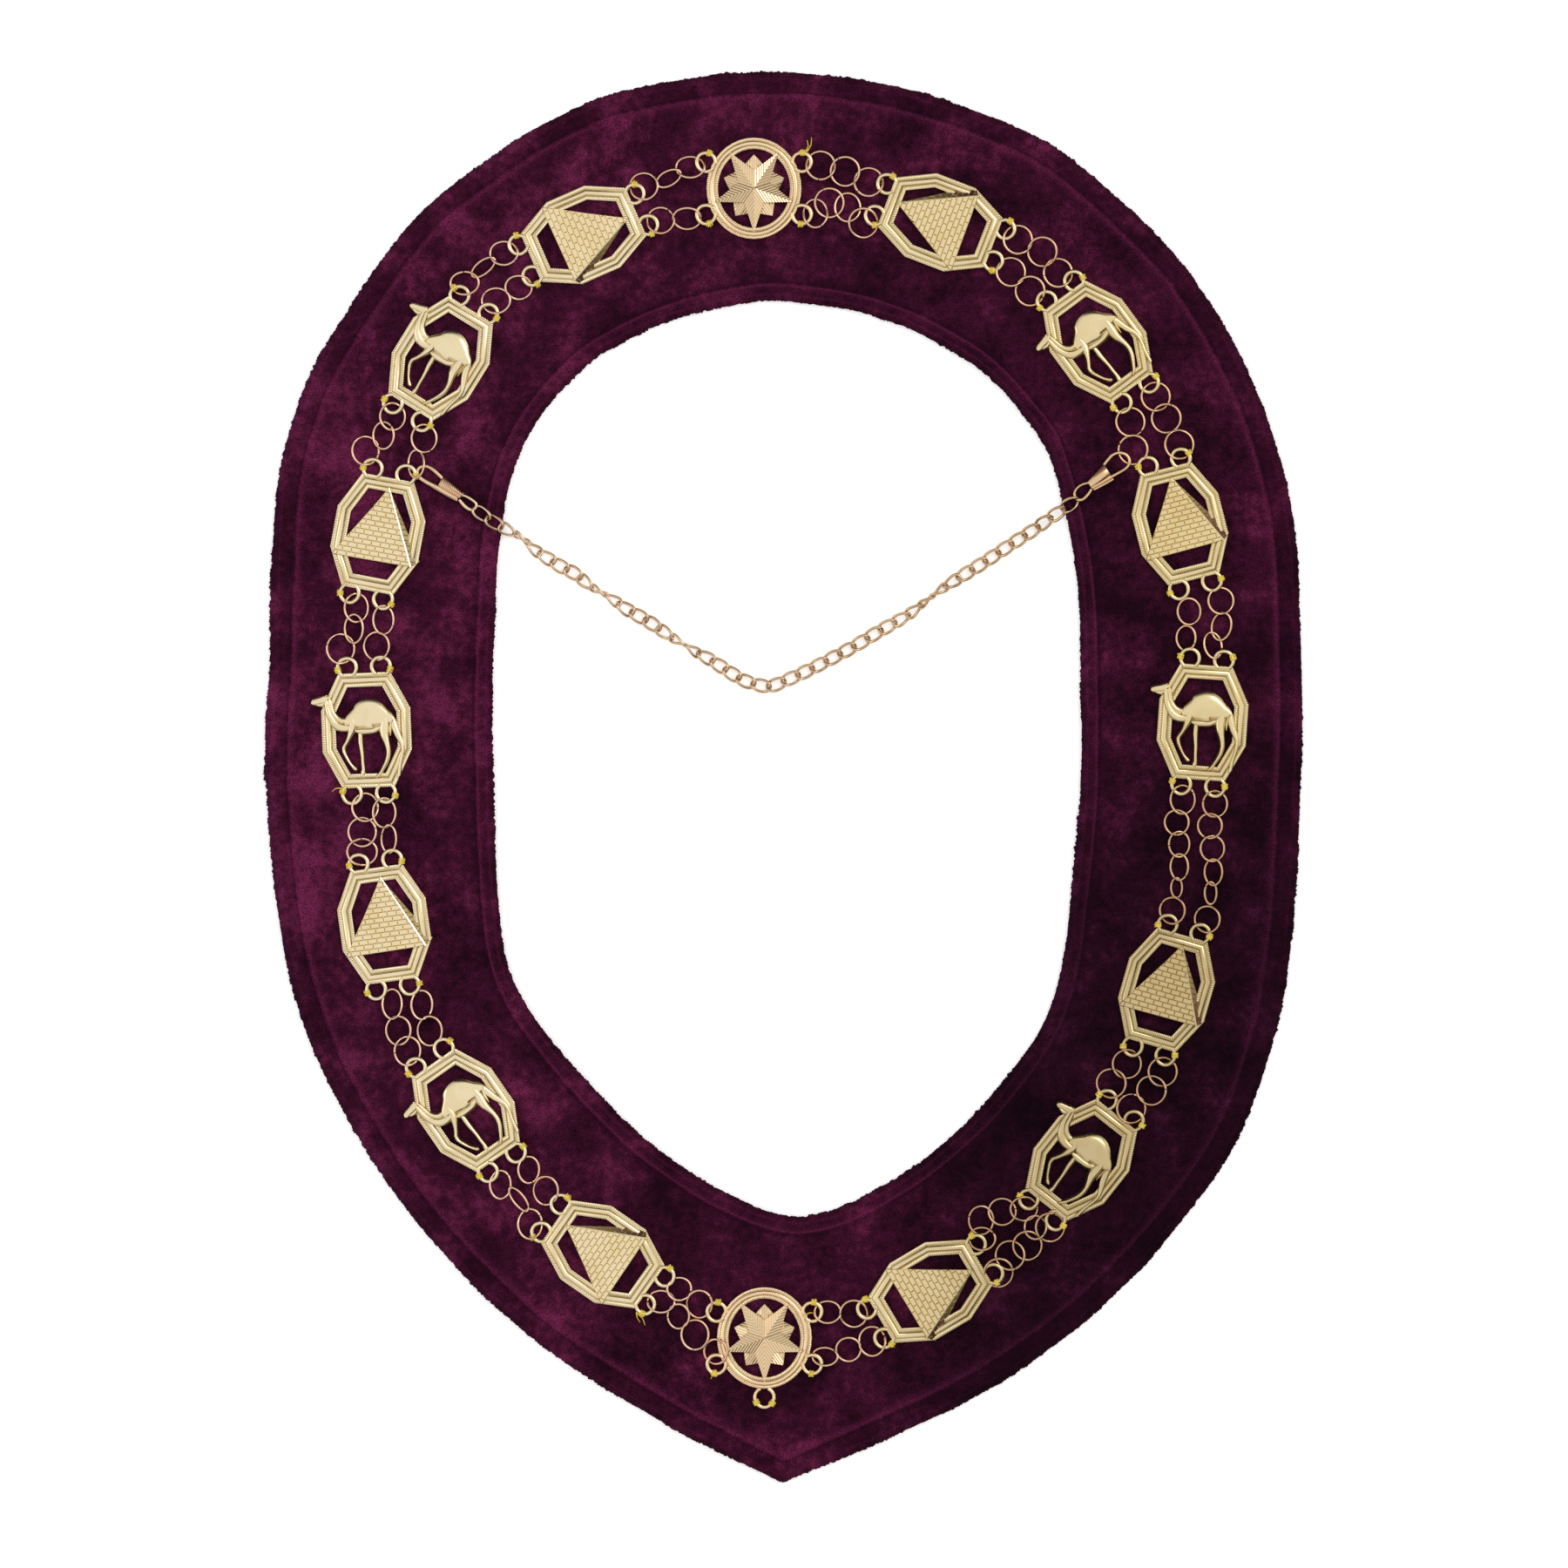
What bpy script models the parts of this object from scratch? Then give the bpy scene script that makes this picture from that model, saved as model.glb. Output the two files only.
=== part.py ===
"""Fraternal chain collar: plum velvet backing, cast medallions on ring strands, and a curb chain.

Units are metres, +Z is up. The collar lies flat with its velvet on Z = 0 and its outline
centred on the origin. +X is the wearer's left as the collar is seen from above, +Y runs
from the point of the collar to the back of the neck.
"""

import math
from collections import namedtuple

import bmesh
import bpy
from mathutils import Matrix, Vector

# Overall sizes of the collar.
COLLAR_WIDTH = 0.4632
COLLAR_LENGTH = 0.6300
VELVET_THICKNESS = 0.0032
VELVET_CROWN = 1.06
SEAT_GAP = 0.0003
STEPS_PER_SPAN = 2

# Octagonal plate that carries a camel or a pyramid.
PLATE_WIDTH = 0.0402
PLATE_HEIGHT = 0.0516
PLATE_TOP_EDGE = 0.0235
PLATE_SIDE_EDGE = 0.0186
PLATE_BAND = 0.0065
PLATE_RISE = 0.0030

# Round plate that carries the star.
ROUNDEL_WIDTH = 0.0426
ROUNDEL_HEIGHT = 0.0456
ROUNDEL_BAND = 0.0052
ROUNDEL_RISE = 0.0029
ROUNDEL_SIDES = 20

# Cast loops on the rims of the plates.
LOOP_RADIUS = 0.0041
LOOP_WIRE = 0.0019
LOOP_LIFT = 0.0017
LOOP_SIDES = 5
LOOP_STEPS = 6
PLATE_LOOP_SPREAD = 0.0076
PLATE_LOOP_REACH = 0.0283
PLATE_LOOP_SWEEP = math.radians(290)
ROUNDEL_LOOP_SPREAD = 0.0214
ROUNDEL_LOOP_REACH = 0.0117
ROUNDEL_LOOP_SWEEP = math.radians(315)
JEWEL_LOOP_RADIUS = 0.0043
JEWEL_LOOP_REACH = 0.0266
JEWEL_LOOP_STEPS = 7

# Strands of rings, curb chain and snap hooks.
STRAND_WIDTH = 0.0030
STRAND_POINTS = 4
CURB_WIDTH = 0.0032
HOOK_WIRE = 0.0016
HOOK_SIDES = 6
HOOK_BOW_LENGTH = 0.0250
HOOK_BOW_WIDTH = 0.0066
HOOK_EYE_WIRE = 0.00136
HOOK_EYE_LAP = 0.0026
HOOK_EYE_LENGTH = 0.0092
HOOK_EYE_WIDTH = 0.0056
HOOK_SLEEVE_LENGTH = 0.0118
HOOK_SLEEVE_WIDTH = 0.0052
HOOK_SLEEVE_NECK = 0.0028
HOOK_SLEEVE_FLATNESS = 0.62

# Edges of the velvet, from the point round by the wearer's right side to the point again.
# Columns are shares of half the collar width and half its length.
EdgeRow = namedtuple("EdgeRow", "name outer_x outer_y inner_x inner_y")
VELVET_EDGES = (
    EdgeRow("point", -0.003, -1.000, 0.030, -0.626),
    EdgeRow("right point side", -0.168, -0.941, -0.034, -0.617),
    EdgeRow("right lower breast", -0.354, -0.863, -0.143, -0.580),
    EdgeRow("right breast", -0.522, -0.773, -0.261, -0.520),
    EdgeRow("right upper breast", -0.673, -0.662, -0.370, -0.443),
    EdgeRow("right low chest", -0.800, -0.536, -0.468, -0.357),
    EdgeRow("right chest", -0.901, -0.396, -0.529, -0.279),
    EdgeRow("right high chest", -0.968, -0.236, -0.551, -0.189),
    EdgeRow("right collarbone", -0.999, 0.000, -0.564, 0.000),
    EdgeRow("right shoulder front", -0.993, 0.152, -0.564, 0.152),
    EdgeRow("right shoulder", -0.985, 0.307, -0.558, 0.269),
    EdgeRow("right shoulder top", -0.970, 0.443, -0.544, 0.375),
    EdgeRow("right shoulder back", -0.916, 0.567, -0.510, 0.464),
    EdgeRow("right neck", -0.827, 0.678, -0.448, 0.537),
    EdgeRow("right upper neck", -0.710, 0.794, -0.354, 0.601),
    EdgeRow("right nape side", -0.564, 0.881, -0.242, 0.645),
    EdgeRow("right nape", -0.396, 0.952, -0.143, 0.666),
    EdgeRow("right nape middle", -0.202, 0.990, -0.071, 0.676),
    EdgeRow("nape", 0.000, 1.000, 0.000, 0.678),
    EdgeRow("left nape", 0.202, 0.983, 0.143, 0.663),
    EdgeRow("left nape side", 0.375, 0.944, 0.266, 0.630),
    EdgeRow("left upper neck", 0.529, 0.890, 0.375, 0.583),
    EdgeRow("left neck", 0.673, 0.801, 0.455, 0.523),
    EdgeRow("left shoulder back", 0.783, 0.715, 0.510, 0.465),
    EdgeRow("left shoulder top", 0.884, 0.591, 0.540, 0.391),
    EdgeRow("left shoulder", 0.953, 0.464, 0.564, 0.307),
    EdgeRow("left shoulder front", 0.988, 0.328, 0.573, 0.226),
    EdgeRow("left collarbone", 0.999, 0.140, 0.576, 0.100),
    EdgeRow("left high chest", 0.994, -0.060, 0.572, -0.040),
    EdgeRow("left chest", 0.976, -0.247, 0.554, -0.178),
    EdgeRow("left low chest", 0.941, -0.381, 0.535, -0.279),
    EdgeRow("left upper breast", 0.879, -0.506, 0.495, -0.359),
    EdgeRow("left breast", 0.788, -0.611, 0.424, -0.434),
    EdgeRow("left lower breast", 0.665, -0.714, 0.345, -0.498),
    EdgeRow("left point side", 0.522, -0.806, 0.244, -0.558),
    EdgeRow("left point edge", 0.354, -0.885, 0.143, -0.600),
    EdgeRow("left point run", 0.168, -0.948, 0.076, -0.619),
)

# Section of the velvet from its outer edge to its inner edge.
# Columns are shares of the band width and of the velvet thickness.
SectionRow = namedtuple("SectionRow", "name across height")
VELVET_SECTION = (
    SectionRow("outer foot", 0.000, 0.00),
    SectionRow("outer crown", 0.008, VELVET_CROWN),
    SectionRow("outer seam", 0.085, 0.92),
    SectionRow("outer field", 0.105, 1.00),
    SectionRow("inner field", 0.905, 1.00),
    SectionRow("inner seam", 0.920, 0.92),
    SectionRow("inner crown", 0.992, VELVET_CROWN),
    SectionRow("inner foot", 1.000, 0.00),
)

# Moulded rim of a plate, from its outer edge inwards.
# Columns are shares of the band width and of the rim's rise.
RIM_SECTION = (
    SectionRow("outer foot", 0.00, 0.00),
    SectionRow("outer border", 0.00, 0.50),
    SectionRow("ridge foot", 0.24, 0.55),
    SectionRow("ridge outer top", 0.34, 1.00),
    SectionRow("ridge inner top", 0.52, 1.00),
    SectionRow("inner border", 0.74, 0.55),
    SectionRow("inner edge", 1.00, 0.60),
    SectionRow("inner foot", 1.00, 0.00),
)

# Medallions in order round the collar from the nape by the wearer's left side.
# Columns x and y are shares of half the collar sizes, turn is clockwise in degrees.
MedallionRow = namedtuple("MedallionRow", "name kind x y turn")
MEDALLIONS = (
    MedallionRow("star_roundel_top", "star", -0.0579, 0.8359, 0.0),
    MedallionRow("pyramid_plate_1", "pyramid", 0.3013, 0.7876, -69.0),
    MedallionRow("camel_plate_1", "camel", 0.6057, 0.6180, -36.4),
    MedallionRow("pyramid_plate_2", "pyramid", 0.7640, 0.3598, -14.2),
    MedallionRow("camel_plate_2", "camel", 0.8077, 0.0780, 4.0),
    MedallionRow("pyramid_plate_3", "pyramid", 0.7382, -0.3015, 16.0),
    MedallionRow("camel_plate_3", "camel", 0.5737, -0.5427, 38.2),
    MedallionRow("pyramid_plate_4", "pyramid", 0.2820, -0.7289, 59.5),
    MedallionRow("star_roundel_bottom", "jewel star", -0.0377, -0.7952, 0.0),
    MedallionRow("pyramid_plate_5", "pyramid", -0.3495, -0.6765, -55.2),
    MedallionRow("camel_plate_4", "camel", -0.6138, -0.4721, -34.7),
    MedallionRow("pyramid_plate_6", "pyramid", -0.7714, -0.2085, -8.0),
    MedallionRow("camel_plate_5", "camel", -0.8056, 0.0671, -2.3),
    MedallionRow("pyramid_plate_7", "pyramid", -0.7836, 0.3455, 10.5),
    MedallionRow("camel_plate_6", "camel", -0.6625, 0.5945, 31.7),
    MedallionRow("pyramid_plate_8", "pyramid", -0.3870, 0.7699, 66.3),
)

# Ring strands between neighbouring medallions, one outer and one inner.
# Columns name the two medallions, the loops used on each, and the sideways bow
# of the strand as a share of its width, positive towards the collar's outer edge.
StrandRow = namedtuple("StrandRow", "name start start_loop end end_loop bow")
STRANDS = (
    StrandRow("ring_strand_01_outer", "star_roundel_top", "top right", "pyramid_plate_1", "top right", 0.2),
    StrandRow("ring_strand_01_inner", "star_roundel_top", "low right", "pyramid_plate_1", "top left", 1.2),
    StrandRow("ring_strand_02_outer", "pyramid_plate_1", "low right", "camel_plate_1", "top right", 0.3),
    StrandRow("ring_strand_02_inner", "pyramid_plate_1", "low left", "camel_plate_1", "top left", 0.0),
    StrandRow("ring_strand_03_outer", "camel_plate_1", "low right", "pyramid_plate_2", "top right", 0.6),
    StrandRow("ring_strand_03_inner", "camel_plate_1", "low left", "pyramid_plate_2", "top left", -0.3),
    StrandRow("ring_strand_04_outer", "pyramid_plate_2", "low right", "camel_plate_2", "top right", 0.1),
    StrandRow("ring_strand_04_inner", "pyramid_plate_2", "low left", "camel_plate_2", "top left", 0.3),
    StrandRow("ring_strand_05_outer", "camel_plate_2", "low right", "pyramid_plate_3", "top right", 0.5),
    StrandRow("ring_strand_05_inner", "camel_plate_2", "low left", "pyramid_plate_3", "top left", 0.3),
    StrandRow("ring_strand_06_outer", "pyramid_plate_3", "low right", "camel_plate_3", "top right", 0.5),
    StrandRow("ring_strand_06_inner", "pyramid_plate_3", "low left", "camel_plate_3", "top left", 0.2),
    StrandRow("ring_strand_07_outer", "camel_plate_3", "low right", "pyramid_plate_4", "top right", 0.1),
    StrandRow("ring_strand_07_inner", "camel_plate_3", "low left", "pyramid_plate_4", "top left", -1.2),
    StrandRow("ring_strand_08_outer", "pyramid_plate_4", "low right", "star_roundel_bottom", "low right", -0.3),
    StrandRow("ring_strand_08_inner", "pyramid_plate_4", "low left", "star_roundel_bottom", "top right", 0.3),
    StrandRow("ring_strand_09_outer", "star_roundel_bottom", "low left", "pyramid_plate_5", "low left", -1.7),
    StrandRow("ring_strand_09_inner", "star_roundel_bottom", "top left", "pyramid_plate_5", "low right", 0.2),
    StrandRow("ring_strand_10_outer", "pyramid_plate_5", "top left", "camel_plate_4", "low left", 0.0),
    StrandRow("ring_strand_10_inner", "pyramid_plate_5", "top right", "camel_plate_4", "low right", 0.3),
    StrandRow("ring_strand_11_outer", "camel_plate_4", "top left", "pyramid_plate_6", "low left", -0.1),
    StrandRow("ring_strand_11_inner", "camel_plate_4", "top right", "pyramid_plate_6", "low right", 0.2),
    StrandRow("ring_strand_12_outer", "pyramid_plate_6", "top left", "camel_plate_5", "low left", -1.2),
    StrandRow("ring_strand_12_inner", "pyramid_plate_6", "top right", "camel_plate_5", "low right", 0.1),
    StrandRow("ring_strand_13_outer", "camel_plate_5", "top left", "pyramid_plate_7", "low left", 0.0),
    StrandRow("ring_strand_13_inner", "camel_plate_5", "top right", "pyramid_plate_7", "low right", 0.4),
    StrandRow("ring_strand_14_outer", "pyramid_plate_7", "top left", "camel_plate_6", "low left", 0.4),
    StrandRow("ring_strand_14_inner", "pyramid_plate_7", "top right", "camel_plate_6", "low right", -0.8),
    StrandRow("ring_strand_15_outer", "camel_plate_6", "top left", "pyramid_plate_8", "low left", 0.4),
    StrandRow("ring_strand_15_inner", "camel_plate_6", "top right", "pyramid_plate_8", "low right", 0.4),
    StrandRow("ring_strand_16_outer", "pyramid_plate_8", "top left", "star_roundel_top", "top left", 0.3),
    StrandRow("ring_strand_16_inner", "pyramid_plate_8", "top right", "star_roundel_top", "low left", 0.2),
)

# Pyramid on its plate. Columns x and y are shares of half the plate sizes,
# height is a share of the rim's rise.
ReliefRow = namedtuple("ReliefRow", "name x y height")
PYRAMID_FACES = (
    ReliefRow("apex", 0.06, 0.820, 1.08),
    ReliefRow("broad face corner", -0.94, -0.480, 1.10),
    ReliefRow("ridge foot", 0.85, -0.460, 1.36),
    ReliefRow("narrow face corner", 1.03, -0.350, 1.06),
)
PYRAMID_FLOOR = 0.20

# Camel in profile, facing the left edge of its plate.
# Columns are shares of half the plate width and half its height.
OutlineRow = namedtuple("OutlineRow", "name x y")
CAMEL_OUTLINE = (
    OutlineRow("muzzle", -1.28, 0.485),
    OutlineRow("brow", -1.13, 0.593),
    OutlineRow("ear", -0.93, 0.636),
    OutlineRow("nape", -0.84, 0.527),
    OutlineRow("neck back", -0.82, 0.318),
    OutlineRow("neck root", -0.67, 0.221),
    OutlineRow("withers", -0.48, 0.357),
    OutlineRow("hump front", -0.34, 0.477),
    OutlineRow("hump rise", -0.15, 0.519),
    OutlineRow("hump top", 0.00, 0.558),
    OutlineRow("hump back", 0.18, 0.527),
    OutlineRow("loin", 0.31, 0.411),
    OutlineRow("rump", 0.50, 0.318),
    OutlineRow("tail root", 0.61, 0.190),
    OutlineRow("far thigh", 0.65, -0.023),
    OutlineRow("far shank", 0.75, -0.322),
    OutlineRow("far hock", 0.83, -0.512),
    OutlineRow("far hind heel", 0.76, -0.787),
    OutlineRow("far hind toe", 0.64, -0.787),
    OutlineRow("far hind shin", 0.70, -0.512),
    OutlineRow("far hind knee", 0.59, -0.341),
    OutlineRow("hind fork", 0.47, -0.200),
    OutlineRow("near hock", 0.52, -0.446),
    OutlineRow("near cannon", 0.38, -0.659),
    OutlineRow("near hind heel", 0.34, -0.800),
    OutlineRow("near hind toe", 0.16, -0.800),
    OutlineRow("near shin", 0.27, -0.616),
    OutlineRow("near stifle", 0.36, -0.446),
    OutlineRow("near thigh", 0.28, -0.298),
    OutlineRow("flank", 0.18, -0.128),
    OutlineRow("belly", -0.04, -0.085),
    OutlineRow("near elbow", -0.15, -0.110),
    OutlineRow("near fore heel", -0.09, -0.775),
    OutlineRow("near fore toe", -0.26, -0.775),
    OutlineRow("near fore shin", -0.26, -0.446),
    OutlineRow("fore fork", -0.36, -0.085),
    OutlineRow("far knee back", -0.54, -0.267),
    OutlineRow("far fetlock back", -0.41, -0.500),
    OutlineRow("far fore heel", -0.30, -0.733),
    OutlineRow("far fore toe", -0.40, -0.733),
    OutlineRow("far fetlock", -0.54, -0.531),
    OutlineRow("far knee", -0.69, -0.267),
    OutlineRow("far elbow", -0.56, -0.066),
    OutlineRow("chest", -0.67, -0.023),
    OutlineRow("breast", -0.83, 0.039),
    OutlineRow("throat", -0.94, 0.209),
    OutlineRow("gullet", -1.00, 0.399),
    OutlineRow("jaw", -1.24, 0.422),
)
CAMEL_FLOOR = 0.20
CAMEL_TOP = 0.85
CAMEL_BARREL = OutlineRow("barrel", 0.02, 0.165)
CAMEL_BARREL_LENGTH = 0.58
CAMEL_BARREL_DEPTH = 0.31
CAMEL_BARREL_RISE = 1.35

# Star of the roundels, pointing down. Columns are shares of half the roundel
# width, angle steps in tenths of a turn, and shares of the rim's rise.
StarRow = namedtuple("StarRow", "name reach step height")
STAR_POINTS = (
    StarRow("long ray", 0.860, 0.00, 0.62),
    StarRow("long ray valley", 0.400, 0.50, 0.58),
    StarRow("short ray shoulder", 0.520, 0.62, 0.55),
    StarRow("short ray", 0.670, 1.00, 0.55),
    StarRow("short ray far shoulder", 0.520, 1.38, 0.55),
    StarRow("long ray far valley", 0.400, 1.50, 0.58),
)
STAR_REPEATS = 5
STAR_FLOOR = 0.20
STAR_CENTRE = 1.25

# Route of the curb chain from the right hook's eye to the left one, as shares of
# half the collar sizes, and its height in shares of the velvet thickness.
RouteRow = namedtuple("RouteRow", "name x y lift")
CURB_ROUTE = (
    RouteRow("right eye", -0.584, 0.3735, 1.0),
    RouteRow("right velvet edge", -0.545, 0.3537, 1.0),
    RouteRow("right fall", -0.520, 0.3426, 0.5),
    RouteRow("right floor", -0.495, 0.3286, 0.0),
    RouteRow("right upper", -0.420, 0.2906, 0.0),
    RouteRow("right middle", -0.354, 0.2573, 0.0),
    RouteRow("right lower", -0.274, 0.2233, 0.0),
    RouteRow("right dip", -0.194, 0.1897, 0.0),
    RouteRow("lowest right", -0.110, 0.1503, 0.0),
    RouteRow("lowest", -0.025, 0.1262, 0.0),
    RouteRow("lowest left", 0.060, 0.1515, 0.0),
    RouteRow("left dip", 0.150, 0.187, 0.0),
    RouteRow("left lower", 0.244, 0.2309, 0.0),
    RouteRow("left middle", 0.327, 0.2823, 0.0),
    RouteRow("left upper", 0.400, 0.3173, 0.0),
    RouteRow("left floor", 0.470, 0.3478, 0.0),
    RouteRow("left fall", 0.500, 0.3652, 0.5),
    RouteRow("left velvet edge", 0.525, 0.3792, 1.0),
    RouteRow("left eye", 0.5463, 0.3926, 1.0),
)

# Snap hooks: where the bow begins and which way the hook points from there.
# Columns x and y are shares of half the collar sizes, heading is in degrees from +X.
HookRow = namedtuple("HookRow", "name x y heading mirror")
HOOKS = (
    HookRow("snap_hook_right", -0.7040, 0.4325, -33.7, 1),
    HookRow("snap_hook_left", 0.6690, 0.4477, -148.5, -1),
)

FinishRow = namedtuple("FinishRow", "name colour metallic roughness")
FINISHES = {
    "velvet": FinishRow("plum velvet", (0.060, 0.010, 0.038, 1.0), 0.0, 0.95),
    "pale gold": FinishRow("pale gold plate", (0.86, 0.74, 0.46, 1.0), 1.0, 0.28),
    "rose gold": FinishRow("rose gold plate", (0.84, 0.63, 0.41, 1.0), 1.0, 0.30),
    "copper gold": FinishRow("copper gold wire", (0.80, 0.56, 0.38, 1.0), 1.0, 0.25),
}


def place(share_x, share_y, height=0.0):
    """Point of the collar from shares of half its width and half its length."""
    return Vector((share_x * COLLAR_WIDTH / 2, share_y * COLLAR_LENGTH / 2, height))


def finish_object(obj, finish):
    """Gives the object its own Principled material."""
    row = FINISHES[finish]
    material = bpy.data.materials.new(obj.name + " finish")
    material.use_nodes = True
    shader = material.node_tree.nodes["Principled BSDF"]
    shader.inputs["Base Color"].default_value = row.colour
    shader.inputs["Metallic"].default_value = row.metallic
    shader.inputs["Roughness"].default_value = row.roughness
    material.diffuse_color = row.colour
    obj.data.materials.clear()
    obj.data.materials.append(material)


def object_of(name, bm):
    """New object in the scene from a finished bmesh."""
    bmesh.ops.recalc_face_normals(bm, faces=bm.faces)
    mesh = bpy.data.meshes.new(name)
    bm.to_mesh(mesh)
    bm.free()
    obj = bpy.data.objects.new(name, mesh)
    bpy.context.scene.collection.objects.link(obj)
    return obj


def hide_helper(obj):
    """Keeps a helper shape out of the finished collar."""
    obj.hide_render = True
    obj.display_type = "WIRE"


def bridge_rings(bm, rings, closed):
    """Joins rings of vertices with quads, round to the first ring when closed."""
    count = len(rings)
    for index in range(count if closed else count - 1):
        near = rings[index]
        far = rings[(index + 1) % count]
        for side in range(len(near)):
            after = (side + 1) % len(near)
            bm.faces.new((near[side], near[after], far[after], far[side]))


def catmull(before, start, end, after, share):
    """Point on a smooth curve between start and end."""
    square = share * share
    cube = square * share
    return 0.5 * (
        2 * start
        + (end - before) * share
        + (2 * before - 5 * start + 4 * end - after) * square
        + (3 * start - before - 3 * end + after) * cube
    )


def smooth_path(points, steps):
    """Smooth points through an open path, with steps to a span and both ends kept."""
    path = []
    last = len(points) - 1
    for index in range(last):
        before = points[max(index - 1, 0)]
        after = points[min(index + 2, last)]
        for step in range(steps):
            path.append(catmull(before, points[index], points[index + 1], after, step / steps))
    path.append(points[last])
    return path


def velvet_edge(across, along):
    """One edge of the velvet as a closed run of points that keeps the point sharp."""
    rows = [place(getattr(row, across), getattr(row, along)) for row in VELVET_EDGES]
    return smooth_path(rows + rows[:1], STEPS_PER_SPAN)[:-1]


def build_velvet():
    """Velvet backing, one padded band with a seam inside each edge."""
    outer = velvet_edge("outer_x", "outer_y")
    inner = velvet_edge("inner_x", "inner_y")
    bm = bmesh.new()
    rings = []
    for outer_point, inner_point in zip(outer, inner):
        ring = []
        for row in VELVET_SECTION:
            point = outer_point.lerp(inner_point, row.across)
            point.z = row.height * VELVET_THICKNESS
            ring.append(bm.verts.new(point))
        rings.append(ring)
    bridge_rings(bm, rings, closed=True)
    velvet = object_of("velvet_backing", bm)
    finish_object(velvet, "velvet")
    return velvet


def octagon():
    """Corners of the octagonal plate, anticlockwise."""
    half_width = PLATE_WIDTH / 2
    half_height = PLATE_HEIGHT / 2
    top = PLATE_TOP_EDGE / 2
    side = PLATE_SIDE_EDGE / 2
    return [
        Vector((half_width, -side)),
        Vector((half_width, side)),
        Vector((top, half_height)),
        Vector((-top, half_height)),
        Vector((-half_width, side)),
        Vector((-half_width, -side)),
        Vector((-top, -half_height)),
        Vector((top, -half_height)),
    ]


def oval():
    """Corners of the roundel's outer edge, anticlockwise."""
    corners = []
    for index in range(ROUNDEL_SIDES):
        angle = 2 * math.pi * (index + 0.5) / ROUNDEL_SIDES
        corners.append(Vector((math.cos(angle) * ROUNDEL_WIDTH / 2, math.sin(angle) * ROUNDEL_HEIGHT / 2)))
    return corners


def inset_corners(corners, distance):
    """Corners moved inwards so that every edge is the given distance further in."""
    moved = []
    count = len(corners)
    for index in range(count):
        back = (corners[index] - corners[index - 1]).normalized()
        ahead = (corners[(index + 1) % count] - corners[index]).normalized()
        inward = (Vector((-back.y, back.x)) + Vector((-ahead.y, ahead.x))).normalized()
        moved.append(corners[index] + inward * distance / inward.dot(Vector((-ahead.y, ahead.x))))
    return moved


def add_rim(bm, corners, band, rise):
    """Moulded rim that follows the corners."""
    levels = []
    for row in RIM_SECTION:
        edge = inset_corners(corners, row.across * band)
        levels.append([bm.verts.new((corner.x, corner.y, row.height * rise)) for corner in edge])
    bridge_rings(bm, levels, closed=True)


def add_wire(bm, path, width, sides, closed):
    """Round wire along a flat path, mitred at every bend."""
    rings = []
    count = len(path)
    for index, point in enumerate(path):
        before = path[index - 1] if closed or index > 0 else path[index]
        after = path[(index + 1) % count] if closed or index < count - 1 else path[index]
        ahead = (after - point).normalized() if (after - point).length > 0 else (point - before).normalized()
        back = (point - before).normalized() if (point - before).length > 0 else ahead
        along = (ahead + back).normalized()
        aside = Vector((-along.y, along.x, 0.0))
        mitre = 1 / max(along.dot(ahead), 0.3)
        ring = []
        for side in range(sides):
            angle = 2 * math.pi * (side + 0.5) / sides
            offset = aside * math.cos(angle) * mitre + Vector((0, 0, math.sin(angle)))
            ring.append(bm.verts.new(point + offset * width / 2))
        rings.append(ring)
    bridge_rings(bm, rings, closed)
    if not closed:
        bm.faces.new(rings[0])
        bm.faces.new(list(reversed(rings[-1])))


def add_loop(bm, centre, facing, sweep, radius, steps):
    """Cast loop round its centre, left open on the side away from where it faces."""
    path = []
    for step in range(steps + 1):
        angle = facing - sweep / 2 + sweep * step / steps
        path.append(centre + radius * Vector((math.cos(angle), math.sin(angle), 0.0)))
    add_wire(bm, path, LOOP_WIRE, LOOP_SIDES, closed=False)


def loop_centres(kind):
    """Centres of the loops on one medallion, by name, in the medallion's own frame."""
    if kind in ("star", "jewel star"):
        spread = ROUNDEL_LOOP_SPREAD
        reach = ROUNDEL_LOOP_REACH
    else:
        spread = PLATE_LOOP_SPREAD
        reach = PLATE_LOOP_REACH
    centres = {
        "top left": Vector((-spread, reach, LOOP_LIFT)),
        "top right": Vector((spread, reach, LOOP_LIFT)),
        "low left": Vector((-spread, -reach, LOOP_LIFT)),
        "low right": Vector((spread, -reach, LOOP_LIFT)),
    }
    if kind == "jewel star":
        centres["jewel"] = Vector((0.0, -JEWEL_LOOP_REACH, LOOP_LIFT))
    return centres


def loops_object(kind):
    """All the loops of one kind of medallion, as a shape to join to it."""
    bm = bmesh.new()
    for name, centre in loop_centres(kind).items():
        outward = math.atan2(centre.y, centre.x)
        if name == "jewel":
            add_loop(bm, centre, outward, ROUNDEL_LOOP_SWEEP, JEWEL_LOOP_RADIUS, JEWEL_LOOP_STEPS)
        elif kind in ("star", "jewel star"):
            add_loop(bm, centre, outward, ROUNDEL_LOOP_SWEEP, LOOP_RADIUS, LOOP_STEPS)
        else:
            facing = math.copysign(math.pi / 2, centre.y)
            add_loop(bm, centre, facing, PLATE_LOOP_SWEEP, LOOP_RADIUS, LOOP_STEPS)
    loops = object_of(kind + " loops", bm)
    hide_helper(loops)
    return loops


def add_prism(bm, base, top):
    """Closed shape between a base outline and a top outline of as many points."""
    low = [bm.verts.new(point) for point in base]
    high = [bm.verts.new(point) for point in top]
    bridge_rings(bm, [low, high], closed=False)
    bm.faces.new(list(reversed(low)))
    bm.faces.new(high)


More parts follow.
